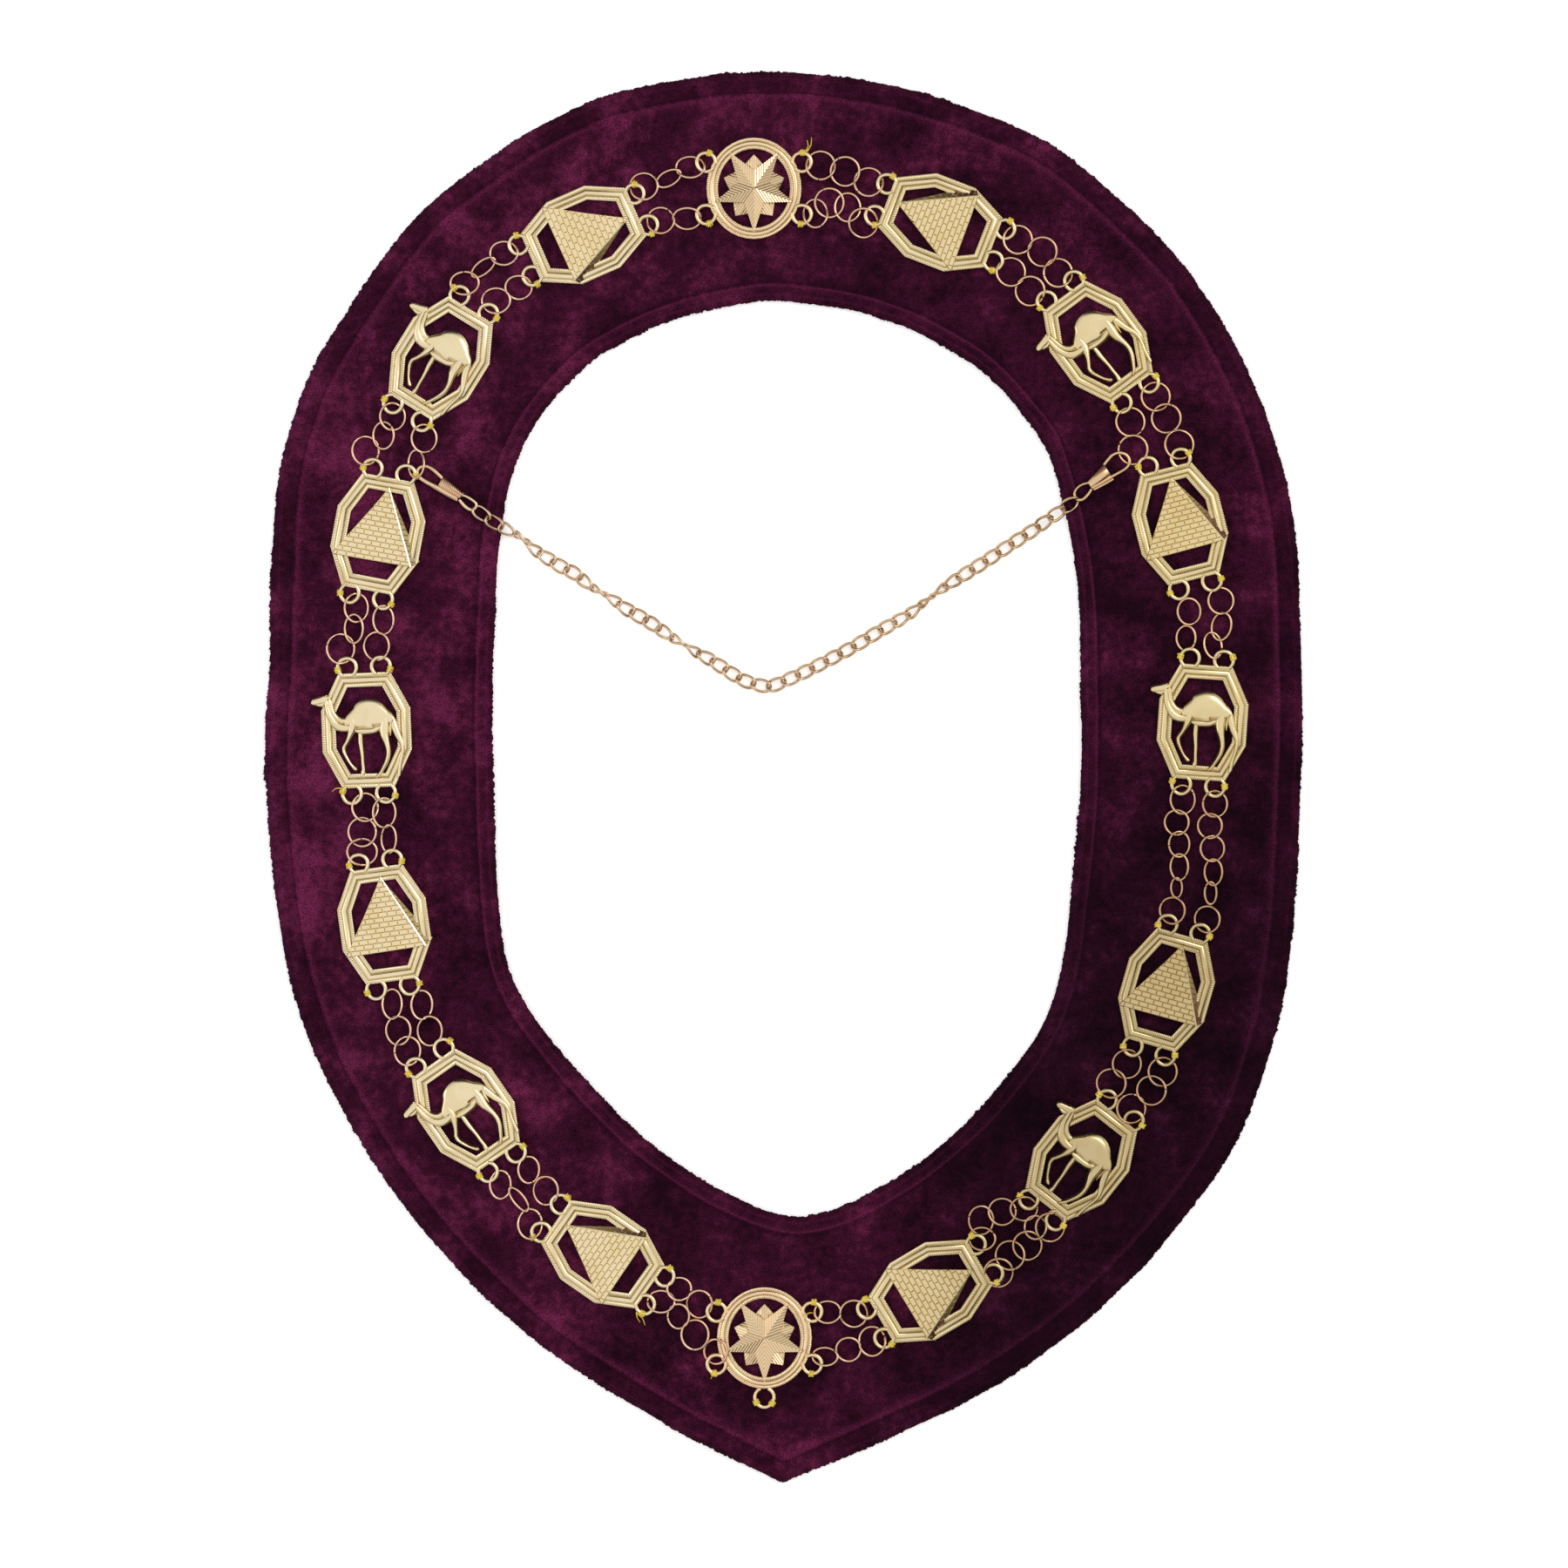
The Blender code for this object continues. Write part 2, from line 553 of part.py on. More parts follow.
def pyramid_relief():
    """Two faces of the pyramid, meeting at a raised ridge."""
    bm = bmesh.new()
    tops = []
    bases = []
    for row in PYRAMID_FACES:
        x = row.x * PLATE_WIDTH / 2
        y = row.y * PLATE_HEIGHT / 2
        tops.append(bm.verts.new((x, y, row.height * PLATE_RISE)))
        bases.append(bm.verts.new((x, y, PYRAMID_FLOOR * PLATE_RISE)))
    apex, broad, ridge, narrow = tops
    bm.faces.new((apex, broad, ridge))
    bm.faces.new((apex, ridge, narrow))
    bm.faces.new(list(reversed(bases)))
    bridge_rings(bm, [bases, tops], closed=False)
    relief = object_of("pyramid relief", bm)
    hide_helper(relief)
    return relief


def camel_relief():
    """Camel cut out in profile."""
    bm = bmesh.new()
    outline = [(row.x * PLATE_WIDTH / 2, row.y * PLATE_HEIGHT / 2) for row in reversed(CAMEL_OUTLINE)]
    base = [Vector((x, y, CAMEL_FLOOR * PLATE_RISE)) for x, y in outline]
    top = [Vector((x, y, CAMEL_TOP * PLATE_RISE)) for x, y in outline]
    add_prism(bm, base, top)
    relief = object_of("camel relief", bm)
    hide_helper(relief)
    return relief


def camel_barrel():
    """Rounded body that stands out from the camel's profile."""
    bm = bmesh.new()
    bmesh.ops.create_uvsphere(bm, u_segments=8, v_segments=6, radius=1.0)
    size = Matrix.Diagonal(
        (
            CAMEL_BARREL_LENGTH * PLATE_WIDTH / 2,
            CAMEL_BARREL_DEPTH * PLATE_HEIGHT / 2,
            (CAMEL_BARREL_RISE - CAMEL_FLOOR) * PLATE_RISE,
            1.0,
        )
    )
    bmesh.ops.transform(bm, matrix=size, verts=bm.verts)
    cut = bmesh.ops.bisect_plane(
        bm,
        geom=list(bm.verts) + list(bm.edges) + list(bm.faces),
        plane_co=(0, 0, 0.1 * PLATE_RISE),
        plane_no=(0, 0, -1),
        clear_outer=True,
    )
    edges = [item for item in cut["geom_cut"] if isinstance(item, bmesh.types.BMEdge)]
    bmesh.ops.contextual_create(bm, geom=edges)
    shift = Vector(
        (
            CAMEL_BARREL.x * PLATE_WIDTH / 2,
            CAMEL_BARREL.y * PLATE_HEIGHT / 2,
            CAMEL_FLOOR * PLATE_RISE,
        )
    )
    bmesh.ops.translate(bm, vec=shift, verts=bm.verts)
    barrel = object_of("camel barrel", bm)
    hide_helper(barrel)
    return barrel


def star_relief():
    """Star with five long rays and five short ones, raised at its centre."""
    bm = bmesh.new()
    tops = []
    bases = []
    for repeat in range(STAR_REPEATS):
        for row in STAR_POINTS:
            angle = -math.pi / 2 + (repeat * 2 + row.step) * math.pi / STAR_REPEATS
            x = math.cos(angle) * row.reach * ROUNDEL_WIDTH / 2
            y = math.sin(angle) * row.reach * ROUNDEL_HEIGHT / 2
            tops.append(bm.verts.new((x, y, row.height * ROUNDEL_RISE)))
            bases.append(bm.verts.new((x, y, STAR_FLOOR * ROUNDEL_RISE)))
    centre = bm.verts.new((0, 0, STAR_CENTRE * ROUNDEL_RISE))
    for index in range(len(tops)):
        bm.faces.new((tops[index - 1], tops[index], centre))
    bm.faces.new(list(reversed(bases)))
    bridge_rings(bm, [bases, tops], closed=False)
    relief = object_of("star relief", bm)
    hide_helper(relief)
    return relief


def join_shapes(rim, shapes):
    """Mesh of the rim joined with the other shapes into one body."""
    for shape in shapes:
        modifier = rim.modifiers.new("join " + shape.name, "BOOLEAN")
        modifier.operation = "UNION"
        modifier.solver = "EXACT"
        modifier.object = shape
    bpy.context.view_layer.update()
    graph = bpy.context.evaluated_depsgraph_get()
    joined = bpy.data.meshes.new_from_object(rim.evaluated_get(graph))
    rim.modifiers.clear()
    return joined


def build_casting(kind):
    """Mesh shared by every medallion of one kind."""
    bm = bmesh.new()
    if kind in ("star", "jewel star"):
        add_rim(bm, oval(), ROUNDEL_BAND, ROUNDEL_RISE)
        shapes = [star_relief()]
    else:
        add_rim(bm, octagon(), PLATE_BAND, PLATE_RISE)
        shapes = [pyramid_relief()] if kind == "pyramid" else [camel_relief(), camel_barrel()]
    rim = object_of(kind + " rim", bm)
    hide_helper(rim)
    return join_shapes(rim, shapes + [loops_object(kind)])


def build_medallions():
    """Medallions placed round the collar, each on the velvet."""
    castings = {kind: build_casting(kind) for kind in ("star", "jewel star", "pyramid", "camel")}
    for row in MEDALLIONS:
        mesh = castings[row.kind].copy()
        medallion = bpy.data.objects.new(row.name, mesh)
        medallion.location = place(row.x, row.y, VELVET_THICKNESS + SEAT_GAP)
        medallion.rotation_euler = (0.0, 0.0, -math.radians(row.turn))
        bpy.context.scene.collection.objects.link(medallion)
        finish_object(medallion, "rose gold" if "star" in row.kind else "pale gold")


def loop_position(medallion_name, loop_name):
    """Centre of one loop in the collar's frame."""
    row = next(row for row in MEDALLIONS if row.name == medallion_name)
    turn = Matrix.Rotation(-math.radians(row.turn), 3, "Z")
    return place(row.x, row.y) + turn @ loop_centres(row.kind)[loop_name]


def build_tube(name, points, width, finish):
    """Round tube along the points, with closed ends."""
    curve = bpy.data.curves.new(name, "CURVE")
    curve.dimensions = "3D"
    curve.bevel_depth = width / 2
    curve.bevel_resolution = 2
    curve.use_fill_caps = True
    spline = curve.splines.new("POLY")
    spline.points.add(len(points) - 1)
    for control, point in zip(spline.points, points):
        control.co = (point.x, point.y, point.z, 1.0)
    tube = bpy.data.objects.new(name, curve)
    bpy.context.scene.collection.objects.link(tube)
    finish_object(tube, finish)
    return tube


def build_strand(row):
    """One strand of rings, as a tube that stops short of the loops it links."""
    start = loop_position(row.start, row.start_loop)
    end = loop_position(row.end, row.end_loop)
    start.z = end.z = 0.0
    reach = LOOP_RADIUS + LOOP_WIRE / 2 + 2 * SEAT_GAP
    along = (end - start).normalized()
    outward = Vector((along.y, -along.x, 0.0))
    if outward.dot(start + end) < 0:
        outward = -outward
    first = start + along * reach
    last = end - along * reach
    height = VELVET_THICKNESS + SEAT_GAP + STRAND_WIDTH / 2
    points = []
    for step in range(STRAND_POINTS):
        share = step / (STRAND_POINTS - 1)
        bow = 4 * share * (1 - share) * row.bow * STRAND_WIDTH
        point = first.lerp(last, share) + outward * bow
        point.z = height
        points.append(point)
    build_tube(row.name, points, STRAND_WIDTH, "copper gold")


def hook_frame(row):
    """Where a hook starts and the matrix that turns it to its heading."""
    height = VELVET_THICKNESS + SEAT_GAP + HOOK_SLEEVE_FLATNESS * HOOK_SLEEVE_WIDTH / 2
    turn = Matrix.Rotation(math.radians(row.heading), 4, "Z")
    return Matrix.Translation(place(row.x, row.y, height)) @ turn


def slot_path(start, length, width, steps):
    """Closed path round a slot that lies along X from its start."""
    radius = width / 2
    path = []
    for step in range(steps + 1):
        angle = math.pi / 2 + math.pi * step / steps
        path.append(Vector((start + radius + radius * math.cos(angle), radius * math.sin(angle), 0.0)))
    for step in range(steps + 1):
        angle = -math.pi / 2 + math.pi * step / steps
        path.append(Vector((start + length - radius + radius * math.cos(angle), radius * math.sin(angle), 0.0)))
    return path


def build_hook(row):
    """Snap hook: a wire bow, a tapered sleeve on one side of it, and a small eye."""
    bm = bmesh.new()
    bow = slot_path(HOOK_WIRE / 2, HOOK_BOW_LENGTH - HOOK_WIRE, HOOK_BOW_WIDTH - HOOK_WIRE, 4)
    add_wire(bm, bow, HOOK_WIRE, HOOK_SIDES, closed=True)
    hook = object_of(row.name, bm)

    bm = bmesh.new()
    eye = slot_path(HOOK_BOW_LENGTH - HOOK_EYE_LAP, HOOK_EYE_LENGTH, HOOK_EYE_WIDTH - HOOK_WIRE, 3)
    add_wire(bm, eye, HOOK_EYE_WIRE, HOOK_SIDES, closed=True)
    eye_shape = object_of(row.name + " eye", bm)
    hide_helper(eye_shape)

    bm = bmesh.new()
    bmesh.ops.create_cone(
        bm,
        cap_ends=True,
        segments=8,
        radius1=HOOK_SLEEVE_WIDTH / 2,
        radius2=HOOK_SLEEVE_NECK / 2,
        depth=HOOK_SLEEVE_LENGTH,
    )
    lay = Matrix.Diagonal((1.0, 1.0, HOOK_SLEEVE_FLATNESS, 1.0)) @ Matrix.Rotation(math.pi / 2, 4, "Y")
    bmesh.ops.transform(bm, matrix=lay, verts=bm.verts)
    middle = HOOK_BOW_LENGTH - HOOK_WIRE - HOOK_SLEEVE_LENGTH / 2
    side = (HOOK_BOW_WIDTH / 2 - 0.9 * HOOK_WIRE) * row.mirror
    bmesh.ops.translate(bm, vec=(middle, side, 0.0), verts=bm.verts)
    sleeve = object_of(row.name + " sleeve", bm)
    hide_helper(sleeve)

    hook.data = join_shapes(hook, [eye_shape, sleeve])
    hook.matrix_world = hook_frame(row)
    finish_object(hook, "copper gold")
    return hook


def build_curb_chain():
    """Curb chain from hook to hook, over the velvet's inner edges and along the floor."""
    points = []
    for row in CURB_ROUTE:
        lift = row.lift * (VELVET_THICKNESS * VELVET_CROWN + SEAT_GAP)
        points.append(place(row.x, row.y, lift + CURB_WIDTH / 2))
    build_tube("curb_chain", points, CURB_WIDTH, "copper gold")


def main():
    """Builds the collar."""
    for obj in list(bpy.data.objects):
        bpy.data.objects.remove(obj)
    build_velvet()
    build_medallions()
    for row in STRANDS:
        build_strand(row)
    for row in HOOKS:
        build_hook(row)
    build_curb_chain()


main()
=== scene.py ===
"""Fraternal chain collar, dressed for its picture.

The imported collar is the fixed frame. Each class below builds one kind of piece round it: the
padded velvet, the cast medallions, the strands of wire rings, the snap hooks, the curb chain
and the thread that ties the castings down. Lengths are in metres unless a name says otherwise.
"""

import logging
import math
import random
from dataclasses import dataclass
from enum import Enum
from typing import Iterable, NamedTuple, Sequence

import bmesh
import bpy
from mathutils import Matrix, Vector, noise


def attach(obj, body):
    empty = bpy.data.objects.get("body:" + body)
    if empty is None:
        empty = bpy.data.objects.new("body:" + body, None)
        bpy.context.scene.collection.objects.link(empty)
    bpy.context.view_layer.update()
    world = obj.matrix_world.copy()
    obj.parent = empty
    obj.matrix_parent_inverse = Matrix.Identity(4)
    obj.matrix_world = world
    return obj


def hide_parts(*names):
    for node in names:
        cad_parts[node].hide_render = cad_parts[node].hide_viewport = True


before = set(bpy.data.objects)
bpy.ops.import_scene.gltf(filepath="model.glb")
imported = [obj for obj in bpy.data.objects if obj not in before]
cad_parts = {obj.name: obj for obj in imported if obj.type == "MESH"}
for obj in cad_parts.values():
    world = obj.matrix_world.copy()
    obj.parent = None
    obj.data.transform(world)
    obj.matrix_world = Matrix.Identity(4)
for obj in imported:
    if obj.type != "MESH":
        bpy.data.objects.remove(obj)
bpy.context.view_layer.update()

# Short names for Blender's types.
Shape = bmesh.types.BMesh
Corner = bmesh.types.BMVert
Edge = bmesh.types.BMEdge
Face = bmesh.types.BMFace
Material = bpy.types.Material
Mesh = bpy.types.Mesh
Node = bpy.types.Node
NodeTree = bpy.types.NodeTree
Piece = bpy.types.Object
Plug = bpy.types.NodeSocket
Colour = tuple[float, float, float]

LOG = logging.getLogger("collar")
MM = 0.001
BODY = "root"

# Without a seed, Blender's vector noise differs from run to run.
NOISE_SEED = 12

# The photograph's scale and the pixel over the collar's origin.
PIXEL = 0.39 * MM
ORIGIN_PX = (900.0, 892.5)
PHOTO_PX = 1800.0

# Heights above the floor that the pieces rest on.
VELVET_TOP = 3.2 * MM
CASTING_SEAT = 3.5 * MM
WIRE_LEVEL = 5.2 * MM

# Height above a casting's seat that its relief reaches down to.
RELIEF_FLOOR = 0.6 * MM

COLLAR_HALF_WIDTH = 0.2316
COLLAR_HALF_LENGTH = 0.3150

# The castings' loops, whose sweep stops where the rim takes them up.
LOOP_WIRE = 2.0 * MM
LOOP_RADIUS = 4.2 * MM
LOOP_STEPS = 24
LOOP_SIDES = 12
ROUND_SWEEP = math.radians(315)
OCTAGON_SWEEP = math.radians(290)
JEWEL_LOOP_RADIUS = 4.3 * MM
JEWEL_LOOP_START = math.radians(-247)
JEWEL_LOOP_SPOT = Vector((0.0, -26.6 * MM, WIRE_LEVEL - CASTING_SEAT))

UP = Vector((0.0, 0.0, 1.0))
CUT_SLACK = 0.01 * MM

# Each point's mark of painted light: above 0 it takes painted shade, as in recesses, joints, grooves and
# seams, and from about 1 up a painted shadow; below 0 it takes a painted highlight, on the velvet with
# lighter brushed pile.
PAINTED_SHADING = "painted_shading"


def named_rows(kind: type, *rows: Sequence[float]) -> tuple:
    """Names the columns of a table's rows."""
    return tuple(kind(*row) for row in rows)


def photo_point(px: float, py: float, height: float = 0.0) -> Vector:
    """Point of the collar under a pixel of the photograph."""
    return Vector(((px - ORIGIN_PX[0]) * PIXEL, (ORIGIN_PX[1] - py) * PIXEL, height))


def flattened(spot: Vector) -> Vector:
    """The same spot at no height."""
    return Vector((spot.x, spot.y, 0.0))


def left_of(along: Vector) -> Vector:
    """Level direction to the left of another one, and as long."""
    return Vector((-along.y, along.x, 0.0))


def turned(degrees: float) -> Matrix:
    """Turn about the upright axis, clockwise as seen from above."""
    return Matrix.Rotation(-math.radians(degrees), 4, "Z")


def between(before: Vector, start: Vector, end: Vector, after: Vector, share: float) -> Vector:
    """Finds a point on a smooth curve from start to end.

    Args:
        before: The point that comes before start.
        start: Where the span begins.
        end: Where the span ends.
        after: The point that comes after end.
        share: How far along the span, from 0 to 1.

    Returns:
        The point on the curve.
    """
    square = share * share
    cube = square * share
    return 0.5 * (
        2 * start
        + (end - before) * share
        + (2 * before - 5 * start + 4 * end - after) * square
        + (3 * start - before - 3 * end + after) * cube
    )


def smooth_run(points: Sequence[Vector], steps: int) -> list[Vector]:
    """Rounds an open run of points.

    Args:
        points: Points that the run passes through.
        steps: Steps to each span.

    Returns:
        The finer run, which keeps both ends.
    """
    last = len(points) - 1
    run = []
    for index in range(last):
        before = points[max(index - 1, 0)]
        after = points[min(index + 2, last)]
        for step in range(steps):
            run.append(between(before, points[index], points[index + 1], after, step / steps))
    run.append(points[last].copy())
    return run


def evenly(run: Sequence[Vector], step: float) -> list[Vector]:
    """Walks a run in even steps.

    Args:
        run: The run's points.
        step: Length of a step.

    Returns:
        Points about a step apart, with both ends kept.
    """
    lengths = [(after - before).length for before, after in zip(run, run[1:])]
    count = max(1, round(sum(lengths) / step))
    spacing = sum(lengths) / count
    points = [run[0].copy()]
    travelled = 0.0
    for before, after, length in zip(run, run[1:], lengths):
        while len(points) < count and spacing * len(points) <= travelled + length:
            points.append(before.lerp(after, (spacing * len(points) - travelled) / length))
        travelled += length
    return points + [run[-1].copy()]


def new_shape() -> Shape:
    """Empty shape whose points can be marked with painted shade and painted highlights."""
    bm = bmesh.new()
    bm.verts.layers.float.new(PAINTED_SHADING)
    return bm


def skin(
    bm: Shape,
    rows: Sequence[Sequence[Vector]],
    painted_shading: Sequence[Sequence[float]] | None = None,
    weld: float = 0.004 * MM,
) -> list[Corner]:
    """Lays a grid over rows of points and welds the edges that meet.

    Args:
        bm: Shape that takes the skin.
        rows: Rows of as many points each. A row or column that repeats the first one closes.
        painted_shading: The mark of each point.
        weld: Points nearer than this become one.

    Returns:
        The points that remain.
    """
    layer = bm.verts.layers.float[PAINTED_SHADING]
    grid = bmesh.ops.create_grid(bm, x_segments=len(rows[0]) - 1, y_segments=len(rows) - 1, size=0.5)
    verts = grid["verts"]
    for vert, point in zip(verts, (point for row in rows for point in row)):
        vert.co = point
    if painted_shading is not None:
        for vert, depth in zip(verts, (depth for row in painted_shading for depth in row)):
            vert[layer] = depth
    bmesh.ops.remove_doubles(bm, verts=verts, dist=weld)
    return [vert for vert in verts if vert.is_valid]


def wire(
    bm: Shape,
    path: Sequence[Vector],
    radii: float | Sequence[float],
    sides: int = 6,
    closed: bool = False,
) -> list[Corner]:
    """Lays a round wire along a path.

    Args:
        bm: Shape that takes the wire.
        path: Middle of the wire.
        radii: Radius of the wire, or one radius for each point.
        sides: Sides of its section.
        closed: Whether the last point leads back to the first.

    Returns:
        The wire's points.
    """
    count = len(path)
    widths = [radii] * count if isinstance(radii, float) else list(radii)
    side = UP
    rows = []
    for index, point in enumerate(path):
        before = path[index - 1] if closed or index else point
        after = path[(index + 1) % count] if closed or index < count - 1 else point
        along = (after - before).normalized()
        side = side - along * side.dot(along)
        if side.length < 1e-4:
            side = along.orthogonal()
        side.normalize()
        other = along.cross(side)
        ring = []
        for step in range(sides + 1):
            angle = 2 * math.pi * (step % sides) / sides
            ring.append(point + (side * math.cos(angle) + other * math.sin(angle)) * widths[index])
        rows.append(ring)
    if closed:
        rows.append(rows[0])
    else:
        rows.insert(0, [path[0].copy()] * (sides + 1))
        rows.append([path[-1].copy()] * (sides + 1))
    return skin(bm, rows, weld=0.001 * MM)


def spun_ring(
    bm: Shape,
    radius: float,
    thickness: float,
    steps: int,
    sides: int,
    start: float = 0.0,
    sweep: float = 2 * math.pi,
) -> list[Corner]:
    """Spins a round section about the upright axis.

    Args:
        bm: Shape that takes the ring.
        radius: Radius of the ring's middle line.
        thickness: Thickness of its wire.
        steps: Steps round the ring.
        sides: Sides of the wire's section.
        start: Angle that the sweep starts at.
        sweep: Angle that it covers.

    Returns:
        The ring's points.
    """
    full = sweep > 2 * math.pi - 1e-6
    held = set(bm.verts)
    section = bmesh.ops.create_circle(bm, cap_ends=False, segments=sides, radius=thickness / 2)["verts"]
    stand = (
        Matrix.Rotation(start, 4, "Z")
        @ Matrix.Translation((radius, 0.0, 0.0))
        @ Matrix.Rotation(math.pi / 2, 4, "X")
    )
    bmesh.ops.transform(bm, matrix=stand, verts=section)
    edges = list(dict.fromkeys(edge for vert in section for edge in vert.link_edges))
    bmesh.ops.spin(
        bm,
        geom=section + edges,
        cent=(0.0, 0.0, 0.0),
        axis=(0.0, 0.0, 1.0),
        angle=sweep,
        steps=steps,
        use_merge=full,
    )
    verts = [vert for vert in bm.verts if vert not in held]
    if not full:
        rims = [edge for vert in verts for edge in vert.link_edges if edge.is_boundary]
        bmesh.ops.holes_fill(bm, edges=list(dict.fromkeys(rims)), sides=sides)
    return verts


def open_edges(geometry: Sequence) -> list[Edge]:
    """Edges of some geometry that border one face only."""
    return [item for item in geometry if isinstance(item, Edge) and item.is_boundary]


def finished_piece(name: str, bm: Shape, material: Material, sharp: float = 80.0) -> Piece:
    """Turns a shape into a piece of the scene.

    Args:
        name: Name of the piece.
        bm: Its shape, which is used up.
        material: Its finish.
        sharp: Angle in degrees past which an edge stays sharp.

    Returns:
        The new piece, at the origin.
    """
    bmesh.ops.recalc_face_normals(bm, faces=bm.faces)
    mesh = bpy.data.meshes.new(name)
    bm.to_mesh(mesh)
    bm.free()
    mesh.shade_smooth()
    mesh.set_sharp_from_angle(angle=math.radians(sharp))
    mesh.materials.append(material)
    return show(bpy.data.objects.new(name, mesh))


def seat(piece: Piece, nodes: Iterable[str] = ()) -> Piece:
    """Seats a piece on the collar.

    Args:
        piece: The piece.
        nodes: The CAD nodes that it stands for.

    Returns:
        The same piece.
    """
    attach(piece, BODY)
    names = list(nodes)
    if names:
        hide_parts(*names)
    mesh = piece.data
    triangles = sum(len(face.vertices) - 2 for face in mesh.polygons)
    LOG.info("%s: %d points, %d triangles", piece.name, len(mesh.vertices), triangles)
    return piece


def show(thing: Piece) -> Piece:
    """Links an object to the scene and gives it back."""
    bpy.context.scene.collection.objects.link(thing)
    return thing


class Socket(NamedTuple):
    """One socket of a node group."""

    name: str
    kind: str
    value: object = None


def fill(node: Node, values: dict[str, object]) -> None:
    """Sets a node's inputs, and gives a colour of three numbers its opacity."""
    for name, value in values.items():
        node.inputs[name].default_value = (*value, 1.0) if isinstance(value, tuple) else value


class EffectGroup:
    """A shader node group with named sockets, built once and placed in each material."""

    def __init__(self, name: str, inputs: Sequence[Socket], outputs: Sequence[Socket]) -> None:
        """Makes an empty group.

        Args:
            name: Name of the group.
            inputs: Sockets that a material fills.
            outputs: Sockets that it gives back.
        """
        self.tree = bpy.data.node_groups.new(name, "ShaderNodeTree")
        for direction, sockets in (("INPUT", inputs), ("OUTPUT", outputs)):
            for row in sockets:
                socket = self.tree.interface.new_socket(row.name, in_out=direction, socket_type=row.kind)
                if row.value is not None:
                    socket.default_value = row.value
        self.source = self.tree.nodes.new("NodeGroupInput")
        self.target = self.tree.nodes.new("NodeGroupOutput")

    def node(self, kind: str, **settings: object) -> Node:
        """Adds a node with its settings."""
        node = self.tree.nodes.new(kind)
        for key, value in settings.items():
            setattr(node, key, value)
        return node

    def plug(self, socket: Plug, value: object) -> None:
        """Links a value to a socket, or sets the socket to a number or colour."""
        if isinstance(value, Plug):
            self.tree.links.new(value, socket)
        else:
            socket.default_value = value

    def noise(self, vector: Plug, scale: float, detail: float, warp: float = 0.0) -> Plug:
        """Adds a noise.

        Args:
            vector: Where the noise is read.
            scale: Its scale, in waves to a metre.
            detail: How many finer layers it has.
            warp: How far it is distorted.

        Returns:
            The noise's value.
        """
        node = self.node("ShaderNodeTexNoise")
        fill(node, {"Scale": scale, "Detail": detail, "Distortion": warp})
        self.tree.links.new(vector, node.inputs["Vector"])
        return node.outputs["Fac"]

    def ramp(self, value: Plug, low: float, high: float, start: float = 0.0, end: float = 1.0) -> Plug:
        """Maps a value smoothly from one range to another.

        Args:
            value: The value.
            low: Where the first range starts.
            high: Where it ends.
            start: What low becomes.
            end: What high becomes.

        Returns:
            The mapped value.
        """
        node = self.node("ShaderNodeMapRange", interpolation_type="SMOOTHSTEP")
        fill(node, {"From Min": low, "From Max": high, "To Min": start, "To Max": end})
        self.tree.links.new(value, node.inputs["Value"])
        return node.outputs["Result"]

    def math(self, operation: str, first: object, second: object) -> Plug:
        """Joins two values or numbers with an operation."""
        node = self.node("ShaderNodeMath", operation=operation)
        for socket, value in zip(node.inputs, (first, second)):
            self.plug(socket, value)
        return node.outputs[0]

    def blend(self, share: object, first: object, second: object, mode: str = "MIX") -> Plug:
        """Mixes two colours.

        Args:
            share: How much of the second colour shows.
            first: Colour or socket.
            second: Colour or socket.
            mode: The way that they mix.

        Returns:
            The mixed colour.
        """
        node = self.node("ShaderNodeMix", data_type="RGBA", blend_type=mode)
        for index, value in ((0, share), (6, first), (7, second)):
            self.plug(node.inputs[index], value)
        return node.outputs[2]

    def far_corner(self, vector: Plug) -> tuple[Plug, Plug]:
        """Finds how far a spot lies towards the collar's right side and its lower right corner, where
        colours take painted shade.

        Args:
            vector: Object coordinates.

        Returns:
            Shares towards the right side and towards the corner.
        """
        place = self.node("ShaderNodeSeparateXYZ")
        self.tree.links.new(vector, place.inputs[0])
        side = self.ramp(place.outputs["X"], -0.10, 0.20)
        right = self.ramp(place.outputs["X"], 0.03, 0.11)
        low = self.ramp(place.outputs["Y"], 0.05, -0.08)
        return side, self.math("MULTIPLY", right, low)

    def give(self, name: str, value: Plug) -> None:
        """Sends a value out of the group."""
        self.tree.links.new(value, self.target.inputs[name])


